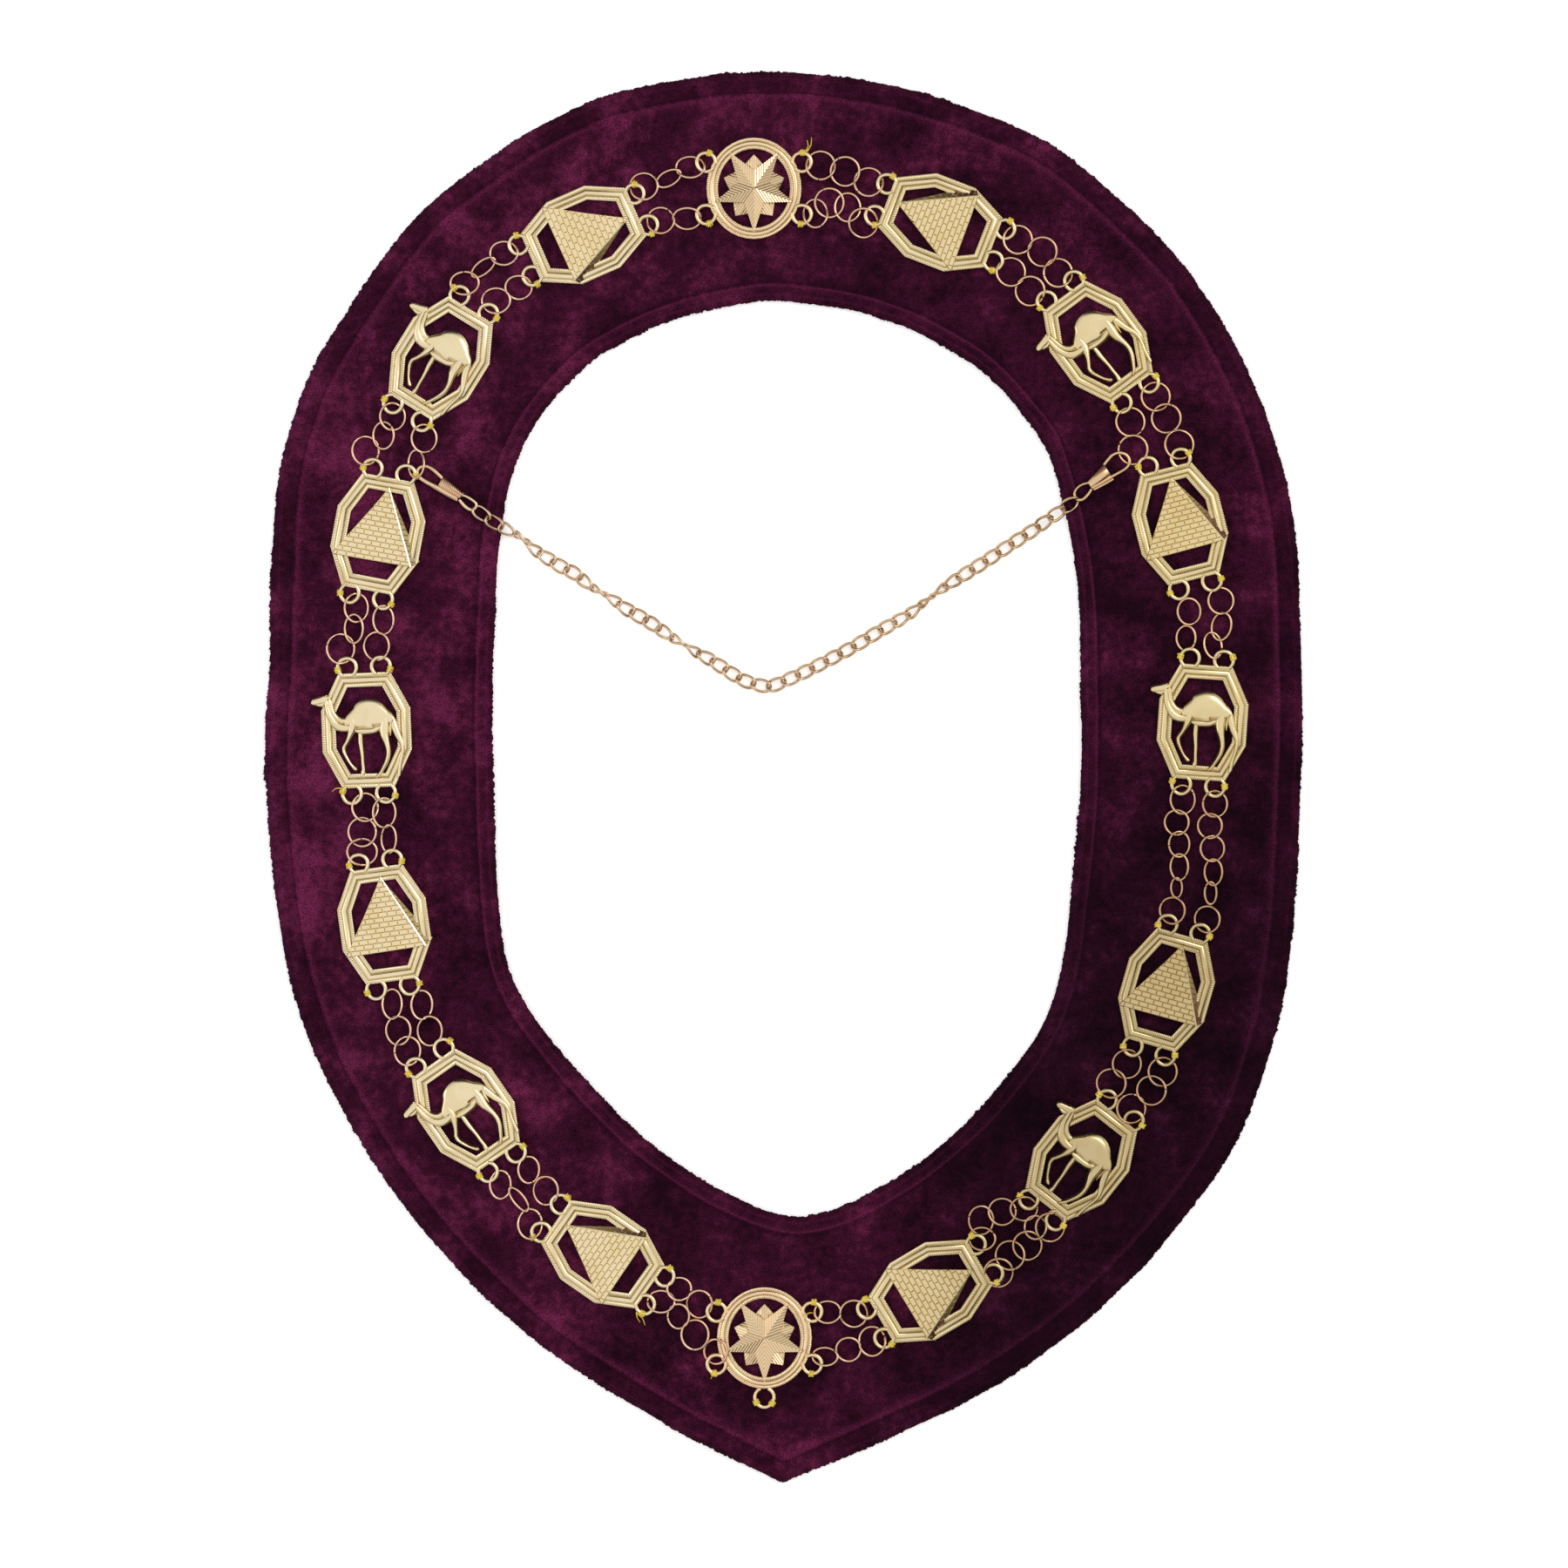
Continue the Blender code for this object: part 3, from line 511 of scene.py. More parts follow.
def gilding_group() -> EffectGroup:
    """Builds the shared effect of gilt metal: painted shade where points are marked, a painted shadow and a
    painted highlight from the marks, painted shade towards the collar's right side and lower right corner,
    a patchy lacquer and fine wear.

    Returns:
        The finished group.
    """
    group = EffectGroup(
        "gilding",
        (
            Socket("Vector", "NodeSocketVector"),
            Socket("Gilt", "NodeSocketColor"),
            Socket("Lacquer", "NodeSocketColor"),
            # Painted shade colour where points are marked, as in recesses, joints and grooves.
            Socket("Painted Shading Colour", "NodeSocketColor"),
            Socket("Shadow Colour", "NodeSocketColor", (0.15, 0.055, 0.045, 1.0)),
            Socket("Gleam Colour", "NodeSocketColor", (1.0, 0.985, 0.93, 1.0)),
            Socket("Painted Shading", "NodeSocketFloat"),
            Socket("Polish", "NodeSocketFloat"),
        ),
        (
            Socket("Colour", "NodeSocketColor"),
            Socket("Roughness", "NodeSocketFloat"),
            Socket("Height", "NodeSocketFloat"),
        ),
    )
    source = group.source.outputs
    patches = group.noise(source["Vector"], 90.0, 3.0, 0.4)
    grain = group.noise(source["Vector"], 1500.0, 2.0)
    swell = group.noise(source["Vector"], 260.0, 1.0)
    lacquered = group.blend(group.ramp(patches, 0.40, 0.68), source["Gilt"], source["Lacquer"])
    # Painted shade, darker towards the collar's right side and darker still in its lower right corner.
    side, corner = group.far_corner(source["Vector"])
    right_shaded = group.blend(side, lacquered, (0.90, 0.87, 0.75, 1.0), "MULTIPLY")
    corner_shaded = group.blend(corner, right_shaded, (0.76, 0.74, 0.71, 1.0), "MULTIPLY")
    # Painted shade where points are marked, which also roughens the metal there.
    hollow_shade = group.ramp(source["Painted Shading"], 0.25, 1.0, 0.0, 0.85)
    shade_mixed = group.blend(hollow_shade, corner_shaded, source["Painted Shading Colour"])
    shadow = group.ramp(source["Painted Shading"], 1.05, 1.9, 0.0, 0.95)
    shadowed = group.blend(shadow, shade_mixed, source["Shadow Colour"])
    gleaming = group.blend(group.ramp(source["Painted Shading"], 0.0, -1.0), shadowed, source["Gleam Colour"])
    group.give("Colour", gleaming)
    wear = group.math("MULTIPLY", group.ramp(grain, 0.35, 0.75), 0.10)
    dull = group.math("MULTIPLY", hollow_shade, 0.30)
    group.give("Roughness", group.math("ADD", group.math("ADD", source["Polish"], wear), dull))
    group.give("Height", group.math("ADD", group.math("MULTIPLY", grain, 0.15), swell))
    return group


def pile_group() -> EffectGroup:
    """Builds the shared effect of velvet pile: brushed patches with painted sheen, mottling, a fine nap,
    painted shade in seams and in the collar's lower right corner, and painted highlights on the rolled hem.

    Returns:
        The finished group.
    """
    group = EffectGroup(
        "velvet_pile",
        (
            Socket("Vector", "NodeSocketVector"),
            Socket("Deep", "NodeSocketColor"),
            Socket("Body", "NodeSocketColor"),
            Socket("Brushed Sheen", "NodeSocketColor"),
            Socket("Painted Shading", "NodeSocketFloat"),
        ),
        (
            Socket("Colour", "NodeSocketColor"),
            Socket("Height", "NodeSocketFloat"),
        ),
    )
    source = group.source.outputs
    drifts = group.noise(source["Vector"], 11.0, 2.0, 0.4)
    blotches = group.noise(source["Vector"], 45.0, 4.0, 0.25)
    mottle = group.noise(source["Vector"], 260.0, 5.0, 0.1)
    nap = group.noise(source["Vector"], 1500.0, 3.0)
    # Tone lighter towards the collar's left and darker towards its right.
    slope = group.node("ShaderNodeVectorMath", operation="DOT_PRODUCT")
    slope.inputs[1].default_value = (-0.90, 0.15, 0.0)
    group.tree.links.new(source["Vector"], slope.inputs[0])
    lean = group.ramp(slope.outputs["Value"], -0.22, 0.20, -0.05, 0.04)
    mixed = group.math("ADD", group.math("MULTIPLY", blotches, 0.62), group.math("MULTIPLY", mottle, 0.38))
    tone = group.math("ADD", mixed, group.math("ADD", group.ramp(drifts, 0.32, 0.70, -0.03, 0.06), lean))
    dark = group.blend(group.ramp(tone, 0.32, 0.56), source["Deep"], source["Body"])
    light = group.blend(group.ramp(tone, 0.50, 0.76), dark, source["Brushed Sheen"])
    # Painted highlight with lighter brushed pile where the hem's marks fall below 0.
    hem_lit = group.blend(group.ramp(source["Painted Shading"], 0.0, -1.0, 0.0, 0.5), light, source["Brushed Sheen"])
    speck = group.ramp(nap, 0.30, 0.70, 0.50, 1.50)
    grey = group.node("ShaderNodeCombineColor")
    for socket in grey.inputs:
        group.tree.links.new(speck, socket)
    napped = group.blend(1.0, hem_lit, grey.outputs[0], "MULTIPLY")
    corner = group.far_corner(source["Vector"])[1]
    shaded = group.blend(corner, napped, (0.45, 0.50, 0.50, 1.0), "MULTIPLY")
    # Painted shade in the hem's seams and on its darker bands, where marks rise above 0.
    seam = group.ramp(source["Painted Shading"], 0.0, 1.0, 0.0, 0.7)
    group.give("Colour", group.blend(seam, shaded, source["Deep"]))
    group.give("Height", group.math("ADD", nap, mottle))
    return group


def fibre_group() -> EffectGroup:
    """Builds the shared effect of twisted thread.

    Returns:
        The finished group.
    """
    group = EffectGroup(
        "thread_fibre",
        (
            Socket("Vector", "NodeSocketVector"),
            Socket("Bright", "NodeSocketColor"),
            Socket("Shade", "NodeSocketColor"),
        ),
        (
            Socket("Colour", "NodeSocketColor"),
            Socket("Height", "NodeSocketFloat"),
        ),
    )
    source = group.source.outputs
    strands = group.noise(source["Vector"], 2600.0, 2.0, 0.8)
    tufts = group.noise(source["Vector"], 300.0, 1.0)
    share = group.ramp(group.math("ADD", strands, group.math("MULTIPLY", tufts, 0.4)), 0.48, 0.88)
    group.give("Colour", group.blend(share, source["Shade"], source["Bright"]))
    group.give("Height", strands)
    return group


def bare_material(name: str) -> tuple[Material, Node, NodeTree]:
    """Makes a material with its Principled shader, and gives its node tree."""
    material = bpy.data.materials.new(name)
    material.use_nodes = True
    tree = material.node_tree
    return material, tree.nodes["Principled BSDF"], tree


def place_group(tree: NodeTree, group: EffectGroup) -> Node:
    """Places an effect in a material and gives it the piece's own coordinates."""
    node = tree.nodes.new("ShaderNodeGroup")
    node.node_tree = group.tree
    coordinates = tree.nodes.new("ShaderNodeTexCoord")
    tree.links.new(coordinates.outputs["Object"], node.inputs["Vector"])
    if "Painted Shading" in node.inputs:
        mark = tree.nodes.new("ShaderNodeAttribute")
        mark.attribute_name = PAINTED_SHADING
        tree.links.new(mark.outputs["Fac"], node.inputs["Painted Shading"])
    return node


def add_bump(tree: NodeTree, height: Plug, shader: Node, strength: float, distance: float) -> None:
    """Raises a material's surface by a height.

    Args:
        tree: The material's nodes.
        height: The height.
        shader: The Principled shader that takes the normal.
        strength: How strongly it shows.
        distance: How far the height reaches, in metres.
    """
    bump = tree.nodes.new("ShaderNodeBump")
    fill(bump, {"Strength": strength, "Distance": distance})
    tree.links.new(height, bump.inputs["Height"])
    tree.links.new(bump.outputs["Normal"], shader.inputs["Normal"])


@dataclass(frozen=True)
class GiltFinish:
    """Gilt brass of one colour and polish."""

    name: str
    gilt: Colour
    lacquer: Colour
    # Colour of the painted shade where points are marked, as in recesses, joints and grooves.
    hollow_shade: Colour = (0.44, 0.33, 0.14)
    polish: float = 0.17
    swell: float = 0.22

    def material(self, group: EffectGroup) -> Material:
        """Makes the finish's material from the shared gilding."""
        material, shader, tree = bare_material(self.name)
        node = place_group(tree, group)
        colours = {"Gilt": self.gilt, "Lacquer": self.lacquer, "Painted Shading Colour": self.hollow_shade}
        fill(node, {**colours, "Polish": self.polish})
        tree.links.new(node.outputs["Colour"], shader.inputs["Base Color"])
        tree.links.new(node.outputs["Roughness"], shader.inputs["Roughness"])
        fill(shader, {"Metallic": 1.0})
        add_bump(tree, node.outputs["Height"], shader, self.swell, 0.12 * MM)
        return material


@dataclass(frozen=True)
class VelvetFinish:
    """Plum velvet with a mottled pile."""

    name: str = "plum_velvet"
    deep: Colour = (0.014, 0.0012, 0.007)
    body: Colour = (0.045, 0.0040, 0.0200)
    # Lighter brushed pile with painted sheen; also the painted highlight on the hem.
    brushed_sheen: Colour = (0.150, 0.016, 0.068)
    sheen: Colour = (0.60, 0.16, 0.40)
    sheen_weight: float = 0.07

    def material(self, group: EffectGroup) -> Material:
        """Makes the velvet's material from the shared pile."""
        material, shader, tree = bare_material(self.name)
        node = place_group(tree, group)
        fill(node, {"Deep": self.deep, "Body": self.body, "Brushed Sheen": self.brushed_sheen})
        tree.links.new(node.outputs["Colour"], shader.inputs["Base Color"])
        fill(shader, {"Roughness": 0.95, "Specular IOR Level": 0.08, "Sheen Roughness": 0.45})
        fill(shader, {"Sheen Weight": self.sheen_weight, "Sheen Tint": self.sheen})
        add_bump(tree, node.outputs["Height"], shader, 0.5, 0.35 * MM)
        return material


@dataclass(frozen=True)
class ThreadFinish:
    """Bright yellow sewing thread."""

    name: str = "yellow_thread"
    bright: Colour = (1.0, 0.82, 0.09)
    shade: Colour = (0.90, 0.58, 0.02)

    def material(self, group: EffectGroup) -> Material:
        """Makes the thread's material from the shared fibre."""
        material, shader, tree = bare_material(self.name)
        node = place_group(tree, group)
        fill(node, {"Bright": self.bright, "Shade": self.shade})
        tree.links.new(node.outputs["Colour"], shader.inputs["Base Color"])
        fill(shader, {"Roughness": 0.6, "Sheen Weight": 0.3})
        add_bump(tree, node.outputs["Height"], shader, 0.6, 0.15 * MM)
        return material


# The third colour, where given, is the painted shade where points are marked.
GILT_FINISHES = {
    "plate": GiltFinish("pale_gilt", (0.89, 0.755, 0.50), (0.85, 0.70, 0.43)),
    "roundel": GiltFinish("rose_gilt", (0.94, 0.73, 0.46), (0.90, 0.66, 0.42), (0.46, 0.31, 0.17)),
    "ring": GiltFinish("ring_gilt", (0.84, 0.56, 0.40), (0.78, 0.48, 0.32), (0.4, 0.2, 0.1)),
    "hook": GiltFinish("hook_gilt", (0.86, 0.62, 0.41), (0.74, 0.47, 0.28), (0.26, 0.12, 0.07)),
    "chain": GiltFinish("chain_gilt", (0.73, 0.545, 0.37), (0.60, 0.42, 0.27), (0.3, 0.17, 0.07)),
}


@dataclass
class Palette:
    """Every material of the collar."""

    plate: Material
    roundel: Material
    ring: Material
    hook: Material
    chain: Material
    velvet: Material
    thread: Material

    @classmethod
    def mixed(cls) -> "Palette":
        """Mixes the finishes from the three shared effects."""
        gilding = gilding_group()
        gilts = {name: finish.material(gilding) for name, finish in GILT_FINISHES.items()}
        return cls(
            **gilts,
            velvet=VelvetFinish().material(pile_group()),
            thread=ThreadFinish().material(fibre_group()),
        )


class SectionStep(NamedTuple):
    """One line of a rim's section, in millimetres."""

    inset: float
    height: float
    # Its mark of painted shade.
    painted_shading: float


class BorderStep(NamedTuple):
    """One line of a milled border: its place across the border, and its height on a tooth and between."""

    across: float
    crest: float
    valley: float


BORDER_SECTION = named_rows(
    BorderStep,
    (-1.0, 1.50, 1.50), (-0.86, 2.10, 2.00), (-0.35, 2.32, 2.16),
    (0.35, 2.32, 2.16), (0.86, 2.10, 2.00), (1.0, 1.50, 1.50),
)

# How far the milling rises at each quarter of a tooth.
TOOTH = (0.0, 0.8, 1.0, 0.8)


class PlateKind(Enum):
    """The figures that a medallion carries."""

    PYRAMID = "pyramid"
    CAMEL = "camel"
    STAR = "star"
    JEWEL_STAR = "jewel star"

    @property
    def is_round(self) -> bool:
        """Whether the medallion is a roundel."""
        return self in (PlateKind.STAR, PlateKind.JEWEL_STAR)


@dataclass(frozen=True)
class MilledRim:
    """Moulded rim with a smooth ridge between two milled borders."""

    width: float
    height: float
    top_edge: float
    side_edge: float
    sides: int
    pitch: float
    section: tuple[SectionStep, ...]
    outer_bead: float
    inner_bead: float
    bead_width: float
    slant: float = 0.35
    # Painted shade between the teeth of the milled borders.
    gap_mark: float = 0.72

    def corners(self, inset: float) -> list[Vector]:
        """Finds the rim's outline at a distance inside its outer edge.

        Args:
            inset: Distance from the outer edge.

        Returns:
            Its corners, anticlockwise.
        """
        if self.sides:
            half = (self.width / 2 - inset, self.height / 2 - inset)
            angles = [2 * math.pi * index / self.sides for index in range(self.sides)]
            return [Vector((math.cos(angle) * half[0], math.sin(angle) * half[1], 0.0)) for angle in angles]
        right, top = self.width / 2, self.height / 2
        across, down = self.top_edge / 2, self.side_edge / 2
        quarter = [(right, down), (across, top)]
        outline = quarter + [(-x, y) for x, y in reversed(quarter)]
        outline += [(-x, -y) for x, y in quarter] + [(x, -y) for x, y in reversed(quarter)]
        moved = []
        for index, corner in enumerate(outline):
            here = Vector((*corner, 0.0))
            back = (here - Vector((*outline[index - 1], 0.0))).normalized()
            ahead = (Vector((*outline[(index + 1) % 8], 0.0)) - here).normalized()
            inward = Vector((-back.y - ahead.y, back.x + ahead.x, 0.0)).normalized()
            moved.append(here + inward * inset / inward.dot(Vector((-ahead.y, ahead.x, 0.0))))
        return moved

    def add_body(self, bm: Shape) -> None:
        """Adds the plain moulding that carries the borders."""
        rows = []
        marks = []
        for step in self.section + self.section[:1]:
            row = [corner + Vector((0, 0, step.height * MM)) for corner in self.corners(step.inset * MM)]
            rows.append(row + row[:1])
            marks.append([step.painted_shading] * (len(row) + 1))
        skin(bm, rows, marks)

    def add_border(self, bm: Shape, middle: float) -> None:
        """Adds one milled border.

        Args:
            bm: Shape of the medallion.
            middle: Inset of the border's middle.
        """
        half = self.bead_width / 2
        outline = self.corners(middle)
        spans = [(after - before).length for before, after in zip(outline, outline[1:] + outline[:1])]
        counts = [max(1, round(span / self.pitch)) for span in spans]
        rows = []
        marks = []
        for step in BORDER_SECTION + BORDER_SECTION[:1]:
            corners = self.corners(middle + step.across * half)
            shift = self.slant * step.across / 2
            row = []
            depth = []
            for index, corner in enumerate(corners):
                after = corners[(index + 1) % len(corners)]
                for tick in range(counts[index]):
                    for phase, rise in enumerate(TOOTH):
                        inside = tick > 0 or phase > 0
                        share = (tick + phase / len(TOOTH) + (shift if inside else 0.0)) / counts[index]
                        point = corner.lerp(after, min(max(share, 0.0), 1.0))
                        point.z = (step.valley + (step.crest - step.valley) * rise) * MM
                        row.append(point)
                        # Painted shade between the teeth, none on their crests.
                        depth.append(self.gap_mark * (1.0 - rise))
            rows.append(row + row[:1])
            marks.append(depth + depth[:1])
        skin(bm, rows, marks)

    def add_to(self, bm: Shape) -> None:
        """Adds the whole rim."""
        self.add_body(bm)
        self.add_border(bm, self.outer_bead)
        self.add_border(bm, self.inner_bead)


# Rows: inset and height in millimetres, and the mark of painted shade in grooves and on walls.
OCTAGON_SECTION = named_rows(
    SectionStep,
    (0.12, 0.00, 0.3), (0.12, 1.70, 0.3), (1.78, 1.90, 0.7), (1.90, 1.98, 0.6), (2.05, 2.25, 0.1),
    (2.35, 2.48, 0.0), (2.75, 2.68, 0.0), (3.15, 2.78, 0.0), (3.55, 2.78, 0.0), (3.90, 2.66, 0.0),
    (4.20, 2.42, 0.1), (4.45, 2.08, 0.6), (4.65, 1.85, 1.0), (4.90, 1.86, 0.9), (6.42, 1.70, 0.3),
    (6.42, 0.00, 0.3),
)

# Rows as for the octagonal rim, with painted shade in grooves and on walls.
ROUND_SECTION = named_rows(
    SectionStep,
    (0.10, 0.00, 0.3), (0.10, 1.70, 0.3), (1.42, 1.80, 0.7), (1.52, 1.85, 0.6), (1.74, 2.05, 0.2),
    (2.02, 2.24, 0.0), (2.50, 2.36, 0.0), (2.98, 2.27, 0.0), (3.28, 2.08, 0.1), (3.48, 1.90, 0.5),
    (3.58, 1.80, 0.8), (5.12, 1.70, 0.5), (5.12, 0.00, 0.3),
)

OCTAGON_RIM = MilledRim(
    width=40.2 * MM,
    height=51.6 * MM,
    top_edge=23.5 * MM,
    side_edge=18.6 * MM,
    sides=0,
    pitch=0.82 * MM,
    section=OCTAGON_SECTION,
    outer_bead=0.94 * MM,
    inner_bead=5.64 * MM,
    bead_width=1.70 * MM,
)

ROUND_RIM = MilledRim(
    width=42.6 * MM,
    height=45.6 * MM,
    top_edge=0.0,
    side_edge=0.0,
    sides=40,
    pitch=0.80 * MM,
    section=ROUND_SECTION,
    outer_bead=0.76 * MM,
    inner_bead=4.36 * MM,
    bead_width=1.46 * MM,
)


@dataclass(frozen=True)
class PyramidRelief:
    """Brick pyramid seen from a corner: a broad face, a narrow one and the ridge between them."""

    apex: Vector = Vector((1.2, 21.2, 2.75)) * MM
    broad_corner: Vector = Vector((-18.9, -12.4, 2.80)) * MM
    ridge_foot: Vector = Vector((17.1, -11.9, 3.60)) * MM
    narrow_corner: Vector = Vector((20.7, -9.0, 0.85)) * MM
    course: float = 2.24 * MM
    brick: float = 4.1 * MM
    mortar: float = 0.27 * MM
    proud: float = 0.32 * MM
    smallest_brick: float = 0.35 * MM * MM
    shortest_joint: float = 0.9 * MM
    dash_start: float = 0.30
    dash_end: float = 0.43
    ridge_wire: float = 0.50 * MM
    ridge_rise: float = 0.02 * MM
    # Painted shade at the joints' crossings and on the side walls.
    crossing_mark: float = 0.35
    side_mark: float = 0.6
    fade: float = 0.6
    narrow_joints: float = 1.1 * MM
    narrow_shade: float = 2.0

    def cut(self, bm: Shape, geometry: list, at: Vector, normal: Vector) -> list:
        """Cuts geometry along a plane and gives back all of it."""
        cut = bmesh.ops.bisect_plane(bm, geom=geometry, dist=CUT_SLACK, plane_co=at, plane_no=normal)
        return cut["geom"]

    def add_face(self, bm: Shape, corners: Sequence[Vector], joint_shift: float, shade: float) -> None:
        """Adds one face of the pyramid, laid in bricks.

        Args:
            bm: Shape of the medallion.
            corners: Its three corners.
            joint_shift: Where the first upright joint falls.
            shade: Mark of its bricks at the foot.
        """
        layer = bm.verts.layers.float[PAINTED_SHADING]
        face = bm.faces.new([bm.verts.new(corner) for corner in corners])
        geometry = [face, *face.edges, *face.verts]
        low = min(corner.y for corner in corners)
        courses = int((self.apex.y - low) / self.course) + 1
        for step in range(1, courses):
            geometry = self.cut(bm, geometry, Vector((0, low + step * self.course, 0)), Vector((0, 1, 0)))
        faces = [item for item in geometry if isinstance(item, Face)]
        bricks = []
        for face in faces:
            middle = face.calc_center_median()
            row = int((middle.y - low) / self.course)
            shift = joint_shift + (self.brick / 2 if row % 2 else 0.0)
            left = min(vert.co.x for vert in face.verts)
            right = max(vert.co.x for vert in face.verts)
            strip = [face, *face.edges, *face.verts]
            first = math.ceil((left - shift) / self.brick)
            last = math.floor((right - shift) / self.brick)
            for joint in range(first, last + 1):
                at = Vector((shift + joint * self.brick, 0, 0))
                strip = self.cut(bm, strip, at, Vector((1, 0, 0)))
            bricks += [item for item in strip if isinstance(item, Face)]
        bricks = list(dict.fromkeys(bricks))
        self.break_joints(bricks, layer)
        edges = list(dict.fromkeys(edge for brick in bricks for edge in brick.edges))
        border = [edge for edge in edges if edge.is_boundary]
        sides = bmesh.ops.extrude_edge_only(bm, edges=border)
        # The side walls down to the relief floor take painted shade.
        for item in sides["geom"]:
            if isinstance(item, Corner):
                item.co.z = RELIEF_FLOOR
                item[layer] = self.side_mark
        broad = [brick for brick in bricks if brick.calc_area() > self.smallest_brick]
        bmesh.ops.recalc_face_normals(bm, faces=bricks)
        if sum(brick.normal.z for brick in bricks) < 0:
            bmesh.ops.reverse_faces(bm, faces=bricks)
        bmesh.ops.inset_individual(
            bm, faces=broad, thickness=self.mortar, depth=self.proud, use_even_offset=True
        )
        for brick in broad:
            for vert in brick.verts:
                vert[layer] = self.shade_at(vert.co, shade)

    def shade_at(self, spot: Vector, shade: float) -> float:
        """Gives the mark of a brick's face, which fades from the foot to the apex."""
        share = (spot.y - self.broad_corner.y) / (self.apex.y - self.broad_corner.y)
        return shade * (1.0 - self.fade * share)

    def break_joints(self, bricks: Sequence[Face], layer: object) -> None:
        """Marks painted shade in the joints as short dashes, which stop where joints meet.

        Args:
            bricks: Faces of one side of the pyramid.
            layer: Layer that holds the marks.
        """
        edges = list(dict.fromkeys(edge for brick in bricks for edge in brick.edges))
        seams = [edge for edge in edges if not edge.is_boundary]
        for brick in bricks:
            for vert in brick.verts:
                vert[layer] = self.crossing_mark
        for seam in seams:
            if seam.calc_length() < self.shortest_joint:
                continue
            first = bmesh.utils.edge_split(seam, seam.verts[0], self.dash_start)[1]
            last = bmesh.utils.edge_split(seam, seam.other_vert(first), self.dash_end)[1]
            for vert in (first, last):
                vert[layer] = 1.0

    def add_to(self, bm: Shape) -> None:
        """Adds both faces and their ridge."""
        self.add_face(bm, (self.apex, self.broad_corner, self.ridge_foot), 0.0, 0.0)
        narrow = (self.apex, self.ridge_foot, self.narrow_corner)
        self.add_face(bm, narrow, self.narrow_joints, self.narrow_shade)
        layer = bm.verts.layers.float[PAINTED_SHADING]
        rise = UP * self.ridge_rise
        ends = [self.apex + rise, self.ridge_foot + rise]
        # The ridge wire takes a painted highlight.
        for vert in wire(bm, ends, [self.ridge_wire * 0.5, self.ridge_wire], sides=8):
            vert[layer] = -1.0


class SpineRow(NamedTuple):
    """One station of a limb, in pixels from the middle of its plate, and half its width."""

    x: float
    y: float
    half: float


@dataclass(frozen=True)
class Limb:
    """A rounded bar that follows a bent spine, as a part of the camel."""

    name: str
    low: float
    crown: float
    power: float
    spine: tuple[SpineRow, ...]
    draft: float = 0.20
    arc_steps: int = 10
    span_steps: int = 4
    thinnest: float = 0.15
    # Painted shade from each foot up the sides.
    flank_shade: tuple[float, ...] = (0.75, 0.7, 0.4, 0.0)

    @property
    def marks(self) -> list[float]:
        """Marks round the section: painted shade along both sides, none on top."""
        top = (0.0,) * (self.arc_steps + 3 - 2 * len(self.flank_shade))
        return [*self.flank_shade, *top, *reversed(self.flank_shade), self.flank_shade[0]]

    def section(self, half: float) -> list[Vector]:
        """Rounds the bar's section from its right foot over the top to its left foot.

        Args:
            half: Half of the bar's width.

        Returns:
            Points across the bar, x sideways and z up.
        """
        foot = half + self.draft * MM
        ring = [Vector((foot, 0.0, RELIEF_FLOOR))]
        for step in range(self.arc_steps + 1):
            angle = math.pi * step / self.arc_steps
            flat = math.copysign(abs(math.cos(angle)) ** (2 / self.power), math.cos(angle))
            rise = abs(math.sin(angle)) ** (2 / self.power)
            ring.append(Vector((half * flat, 0.0, (self.low + (self.crown - self.low) * rise) * MM)))
        ring.append(Vector((-foot, 0.0, RELIEF_FLOOR)))
        return ring + ring[:1]

    def add_to(self, bm: Shape, lean: float) -> None:
        """Adds the bar.

        Args:
            bm: Shape of the medallion.
            lean: Turn in degrees of the plate that the spine was measured on.
        """
        upright = turned(-lean)
        run = smooth_run([Vector(row) for row in self.spine], self.span_steps)
        rows = []
        for index, station in enumerate(run):
            before = run[max(index - 1, 0)]
            after = run[min(index + 1, len(run) - 1)]
            along = Vector((after.x - before.x, after.y - before.y, 0.0)).normalized()
            aside = left_of(along)
            middle = flattened(station) * PIXEL
            row = []
            for point in self.section(max(station.z, self.thinnest) * PIXEL):
                row.append(upright @ (middle + aside * point.x + Vector((0, 0, point.z))))
            rows.append(row)
        for at_end, station in ((False, run[0]), (True, run[-1])):
            tip = upright @ (flattened(station) * PIXEL)
            tip.z = self.low * MM
            cap = [[tip.copy() for _ in rows[0]]]
            rows = rows + cap if at_end else cap + rows
        skin(bm, rows, [self.marks] * len(rows))


def limb_row(name: str, low: float, crown: float, power: float, *spine: Sequence[float]) -> Limb:
    """Names one row of the limbs' table."""
    return Limb(name, low, crown, power, named_rows(SpineRow, *spine))


CAMEL_LEAN = -2.3

